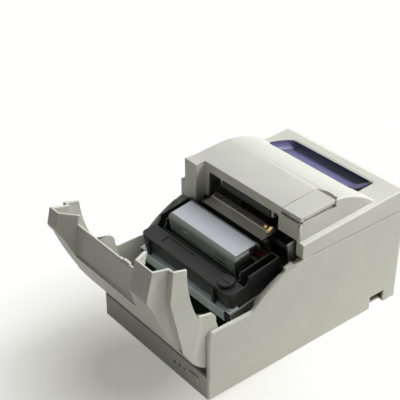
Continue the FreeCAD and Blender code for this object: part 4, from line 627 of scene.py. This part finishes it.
dish = {"left": 50.0, "right": 74.2, "start": 151.7, "arch": 151.9, "bow": 4.7, "low": 144.4,
        "high": 148.9, "thick": 0.8, "points": (25, 13)}


def makeFingerDish():
    # Finger dish behind the opening lever: across it a parabola bounds it at the rear, and its
    # floor rises to that edge with the square of the distance.
    xCount, yCount = dish["points"]
    x = np.linspace(dish["left"], dish["right"], xCount)[None, :]
    part = np.linspace(0, 1, yCount)[:, None]
    middle, half = (dish["left"] + dish["right"]) / 2, (dish["right"] - dish["left"]) / 2
    rear = dish["arch"] + dish["bow"] * (1 - ((x - middle) / half) ** 2)
    y = dish["start"] + (rear - dish["start"]) * part - frontToOrigin
    z = dish["low"] + (dish["high"] - dish["low"]) * part ** 2 + 0 * x
    finishPiece("fingerDish", sheet(np.stack([x + 0 * y, y, z], -1), dish["thick"]), "coverPlastic",
                "roll_cover")


film = {"size": (93.2, 23.2), "corner": 0.8, "thick": 0.16, "edge": (0.08, 0.05),
        "at": (-3.75, 45.8, 32.0)}


def makeFilm():
    # Bare film on the head cover's top: a thin rounded rectangle with a sloped rim.
    slope, drop = film["edge"]
    rows = [(0, -drop), (0, film["thick"] - drop), (slope, film["thick"])]
    top = pressed(rows, film["size"], film["corner"], onMech(*film["at"]), plateAxes)
    finishPiece("headFilm", [top], "filmFinish", "case", sharp=15)


leaf = {"x": 39.0, "width": 3.2, "thick": 0.3, "start": 74.5, "run": 8.5, "low": 32.85, "rise": 2.2,
        "tip": 0.15, "tipDrop": 0.9, "bushAt": (33, 79.5, 32.5),
        "bush": [(0, 0), (2.2, 0), (2.2, 1.4), (1.7, 1.8), (0, 1.8)], "bushPoints": 28, "steps": 24,
        "screws": [((39, 75.6, 32.95), 1.2), ((33, 79.5, 34.3), 1.5)]}


def makeLeaf():
    # Brass leaf at the end of the paper guide: a thin strip along a smooth step (three squares less
    # two cubes) whose tip drops straight, with a bush and two screws.
    part = np.linspace(0, 1, leaf["steps"])
    tip = np.maximum(part - (1 - leaf["tip"]), 0) / leaf["tip"]
    height = leaf["low"] + leaf["rise"] * part ** 2 * (3 - 2 * part) - leaf["tipDrop"] * tip
    local = np.stack([0 * part, leaf["start"] + leaf["run"] * part, height], -1)
    wide, thin = leaf["width"] / 2, leaf["thick"] / 2
    ring = np.array([[-wide, -thin], [wide, -thin], [wide, thin], [-wide, thin]])
    parts = [swept(onMech(leaf["x"], 0, 0) + local @ plateAxes, ring),
             turned(leaf["bush"], onMech(*leaf["bushAt"]), plateAxes, leaf["bushPoints"])]
    parts += [screw(onMech(*at), plateAxes, radius) for at, radius in leaf["screws"]]
    finishPiece("brassLeaf", parts, "brass", "case")


tabs = {   # blocks: size, corner and place on the shut cover
    "rows": [(0, -2.2), (0, 0.5), (0.3, 0.8)],
    "blocks": [((9.0, 4.6), 0.8, (22.5, 86.0, 121.4)), ((4.0, 3.0), 0.6, (14.5, 85.6, 121.4))]}


def makeCoverTabs():
    # Two stepped tabs on the scoop's rear edge, rounded rectangles lying on its floor.
    parts = [pressed(tabs["rows"], size, corner, onCover(*at), coverAxes)
             for size, corner, at in tabs["blocks"]]
    finishPiece("coverTabs", parts, "coverPlastic", "front_cover")


screws = {   # plate: x, along the plate, radius; rear: x, height
    "plate": [(-60.5, 8.0, 2.6), (61.5, 8.0, 2.6), (-60.7, 40.0, 2.2), (62.0, 42.0, 2.2)],
    "rear": [(-52.5, 42.5), (52.5, 42.5), (-52.5, 19.5), (52.5, 19.5)],
    "rearFace": 247.0, "rearRadius": 1.8}


def makeScrews():
    # Pan heads on the cassette plate's ears and the rests, and round the rear panel.
    parts = [screw(onMech(x, along, 0.0), plateAxes, radius)
             for x, along, radius in screws["plate"]]
    parts += [screw(onCase(x, screws["rearFace"], z), rearward, screws["rearRadius"])
              for x, z in screws["rear"]]
    finishPiece("panHeads", parts, "screwSteel", "case")


chips = {   # main and rear: x, y from the case front, width, length, height; top: face of the board
    "mainTop": 12.6, "rearTop": 19.6, "corner": 0.4, "cornerPoints": 3, "draft": (0.25, 0.3),
    "band": (0.45, 0.55),
    "main": [(-30, 86, 22, 16, 2.2), (2, 78, 12, 8, 1.8), (18, 104, 14, 14, 2.4),
             (-46, 112, 9, 24, 3.0), (-8, 118, 10, 6, 1.6), (30, 128, 16, 10, 2.0),
             (-22, 132, 8, 8, 1.6)],
    "rear": [(-32, 214, 13, 9, 2.0), (0, 210, 13, 9, 2.0), (30, 213, 13, 9, 2.0)]}


def makeChips():
    # Chips as rounded blocks, widest at a band half way up, whose sides slope in from it.
    parts = []
    for board in ("main", "rear"):
        for x, y, width, length, height in chips[board]:
            rows = [(chips["draft"][0], 0), (0, height * chips["band"][0]),
                    (0, height * chips["band"][1]), (chips["draft"][1], height)]
            parts.append(pressed(rows, (width, length), chips["corner"],
                                 onCase(x, y, chips[board + "Top"]), plain,
                                 chips["cornerPoints"]))
    finishPiece("boardChips", parts, "chipBlack", "case")


cans = {   # x, y from the case front, radius, height
    "all": [(42, 80, 4.0, 9.0), (50, 92, 4.0, 9.0), (42, 106, 5.0, 11.0), (-50, 76, 3.2, 7.0)],
    "groove": [(0, 1.0), (0.3, 1.3), (0.3, 1.7), (0, 2.0)],
    "crown": [(0, 0.5), (0.5, 0), (1.0, 0.2)], "dip": 0.2, "points": 28}


def makeCans():
    # Capacitors as turned cans with a groove near the foot and a rolled rim.
    parts = []
    for x, y, radius, height in cans["all"]:
        rows = [(0, 0), (radius, 0)]
        rows += [(radius - inset, up) for inset, up in cans["groove"]]
        rows += [(radius - inset, height - down) for inset, down in cans["crown"]]
        rows.append((0, height - cans["dip"]))
        parts.append(turned(rows, onCase(x, y, chips["mainTop"]), plain, cans["points"]))
    finishPiece("boardCans", parts, "canFinish", "case")


contacts = {   # floor: foot of the pins from the case front; pins: radius, length
    "floor": 233.0, "port": (-28, 25.6), "portPitch": 2.4, "portRow": 1.5, "portHalf": 6,
    "portPin": (0.55, 9.0), "inlet": (40, 25.0), "inletPin": (0.9, 10.0),
    "inletPlaces": ((-2.6, 0.8), (2.6, 0.8), (0, -1.8)), "nose": (0.6, 0.3), "pinPoints": 12,
    "jack": (8.8, 234, 29.2), "wires": 6, "wirePitch": 1.28, "wireRun": 9, "wireDrop": 3.6,
    "wireBend": 1.5, "wire": 0.28, "wirePoints": 8, "wireSteps": 12}


def makeContacts():
    # Contacts in the three sockets: round pins as turned needles, and spring wires that bend down
    # with the power of one and a half of the distance.
    def pin(x, z, radius, length):
        noseWide, noseDown = contacts["nose"]
        rows = [(0, 0), (radius, 0), (radius, length - radius),
                (radius * noseWide, length - radius * noseDown), (0, length)]
        return turned(rows, onCase(x, contacts["floor"], z), rearward, contacts["pinPoints"])

    (portX, portZ), (inletX, inletZ) = contacts["port"], contacts["inlet"]
    half = contacts["portHalf"]
    parts = [pin(portX + place * contacts["portPitch"], portZ + side * contacts["portRow"],
                 *contacts["portPin"]) for side in (-1, 1) for place in range(-half, half + 1)]
    parts += [pin(inletX + x, inletZ + z, *contacts["inletPin"])
              for x, z in contacts["inletPlaces"]]
    ring = contacts["wire"] * ringOf(contacts["wirePoints"])
    part = np.linspace(0, 1, contacts["wireSteps"])
    x, y, z = contacts["jack"]
    for place in range(contacts["wires"]):
        path = np.stack([0 * part + x + contacts["wirePitch"] * place,
                         y + contacts["wireRun"] * part - frontToOrigin,
                         z - contacts["wireDrop"] * part ** contacts["wireBend"]], -1)
        parts.append(swept(path, ring))
    finishPiece("socketContacts", parts, "brass", "case")


posts = {"places": (-52.5, -3.5), "face": 246.9, "height": 25.6, "sides": 6,
         "rows": [(0, -0.3), (2.7, -0.3), (2.7, 0.6), (2.4, 0.9), (1.2, 0.9), (1.2, 0.1), (0, 0.1)]}


def makePosts():
    # Hex posts beside the data port: a bored profile turned in as many steps as it has sides.
    parts = [turned(posts["rows"], onCase(x, posts["face"], posts["height"]), rearward,
                    posts["sides"]) for x in posts["places"]]
    finishPiece("hexPosts", parts, "screwSteel", "case", sharp=20)


for maker in (makeTearBar, makeKnob, makeRollPane, makeFingerDish, makeFilm, makeLeaf,
              makeCoverTabs, makeScrews, makeChips, makeCans, makeContacts, makePosts):
    maker()
print("small pieces made")

table = {   # sizes in m; fade: distance over which the object's shadow gives way to white
    "half": 5.0, "front": -4.0, "bend": 1.6, "radius": 0.8, "bendPoints": 17, "top": 4.0,
    "tints": ((0.75, 0.75, 0.675), (0.79, 0.79, 0.715)), "drift": 3.0, "rough": (0.7, 0.1),
    "glow": ((1.0, 0.995, 0.91), (1.0, 1.0, 0.995)), "shadeNear": 0.70,
    "shadeShift": (0.0, 0.12, 0.0), "fade": (0.03, 0.18)}


def whiteRays(tree):
    # 1 for rays that see the backdrop: from the camera, a reflection or through glass
    path = tree.nodes.new("ShaderNodeLightPath")
    names = ("Is Camera Ray", "Is Glossy Ray", "Is Transmission Ray")
    seen, mirrored, through = (Flow(tree, path.outputs[name]) for name in names)
    return seen.calc("MAXIMUM", mirrored).calc("MAXIMUM", through)


def tableLook():
    # Pale table that glows white to the backdrop's rays; near the object it keeps most of its own
    # shading, and so the shadow.
    made, principled, place = shader("tableTop")
    tree = place.tree
    drift = noise(place, table["drift"])
    smooth, change = table["rough"]
    feed(principled, place, Base_Color=drift.blend(*table["tints"]),
         Roughness=smooth + drift * change)
    shifted = place.node("ShaderNodeMapping", Vector=place, Location=table["shadeShift"])
    away = place.node("ShaderNodeVectorMath", 1, {"operation": "LENGTH"}, Vector=shifted)
    clear = away.step(*table["fade"])
    share = whiteRays(tree) * (1 - (1 - clear) * table["shadeNear"])
    # near the object the glow is warm, a painted warm tint for its shadow; far away it is white
    glow = place.node("ShaderNodeEmission", Color=clear.blend(*table["glow"]), Strength=1.0)
    both = place.node("ShaderNodeMixShader", Fac=share)
    link(tree, Flow(tree, principled.outputs[0]), both.socket.node.inputs[1])
    link(tree, glow, both.socket.node.inputs[2])
    link(tree, both, tree.nodes["Material Output"].inputs["Surface"])
    return made


def makeTable():
    # A floor that bends up behind the object in a quarter circle and ends in a wall.
    bend, radius = table["bend"], table["radius"]
    rows = [(table["front"], 0.0)]
    rows += [(bend + radius * math.sin(turn), radius - radius * math.cos(turn))
             for turn in np.linspace(0, math.pi / 2, table["bendPoints"])]
    rows.append((bend + radius, table["top"]))
    verts = [(side * table["half"], y, z) for y, z in rows for side in (-1, 1)]
    faces = [(2 * k, 2 * k + 1, 2 * k + 3, 2 * k + 2) for k in range(len(rows) - 1)]
    mesh = bpy.data.meshes.new("table")
    mesh.from_pydata(verts, [], faces)
    mesh.polygons.foreach_set("use_smooth", np.ones(len(faces), bool))
    mesh.materials.append(tableLook())
    addObject("table", mesh)


light = {   # lamps: place in m, size in m, power in W; world: strength for the other rays
    "lamps": {"key": ((0.35, 1.25, 1.35), 0.9, 41.0), "side": ((1.7, 0.35, 0.7), 1.0, 2.2)},
    "aim": (0, 0, 0.06), "world": 0.05}


def makeLight():
    # One wide lamp behind and above, a weak one at the right, and a white world.
    for name, (at, size, power) in light["lamps"].items():
        lamp = bpy.data.lights.new(name, "AREA")
        lamp.size = size
        lamp.energy = power
        holder = addObject(name, lamp)
        holder.location = at
        aim = Vector(light["aim"]) - Vector(at)
        holder.rotation_euler = aim.to_track_quat("-Z", "Y").to_euler()
    world = bpy.data.worlds.new("studio")
    world.use_nodes = True
    tree = world.node_tree
    back = tree.nodes["Background"]
    strength = whiteRays(tree) * (1 - light["world"]) + light["world"]
    link(tree, strength, back.inputs["Strength"])
    link(tree, (1.0, 1.0, 1.0), back.inputs["Color"])
    bpy.context.scene.world = world


view = {   # place in mm from the case front and the table; focal length and width in pixels
    "azimuth": 51.08, "elevation": 32.11, "at": (587.0, -418.8, 624.5), "focal": 1000.9,
    "width": 400, "sensor": 36.0, "far": 50.0}


def makeCamera():
    # The photograph's viewpoint, fitted to the straight edges of the case.
    azimuth, elevation = math.radians(view["azimuth"]), math.radians(view["elevation"])
    level = math.cos(elevation)
    back = Vector((math.sin(azimuth) * level, -math.cos(azimuth) * level, math.sin(elevation)))
    data = bpy.data.cameras.new("view")
    data.sensor_width = view["sensor"]
    data.lens = view["focal"] / view["width"] * view["sensor"]
    data.clip_end = view["far"]
    holder = addObject("view", data)
    holder.location = onCase(*view["at"]) * mm
    holder.rotation_euler = (-back).to_track_quat("-Z", "Y").to_euler()
    bpy.context.scene.camera = holder


makeTable()
makeLight()
makeCamera()
bpy.context.scene.view_settings.view_transform = "Standard"
print("stage and camera set")
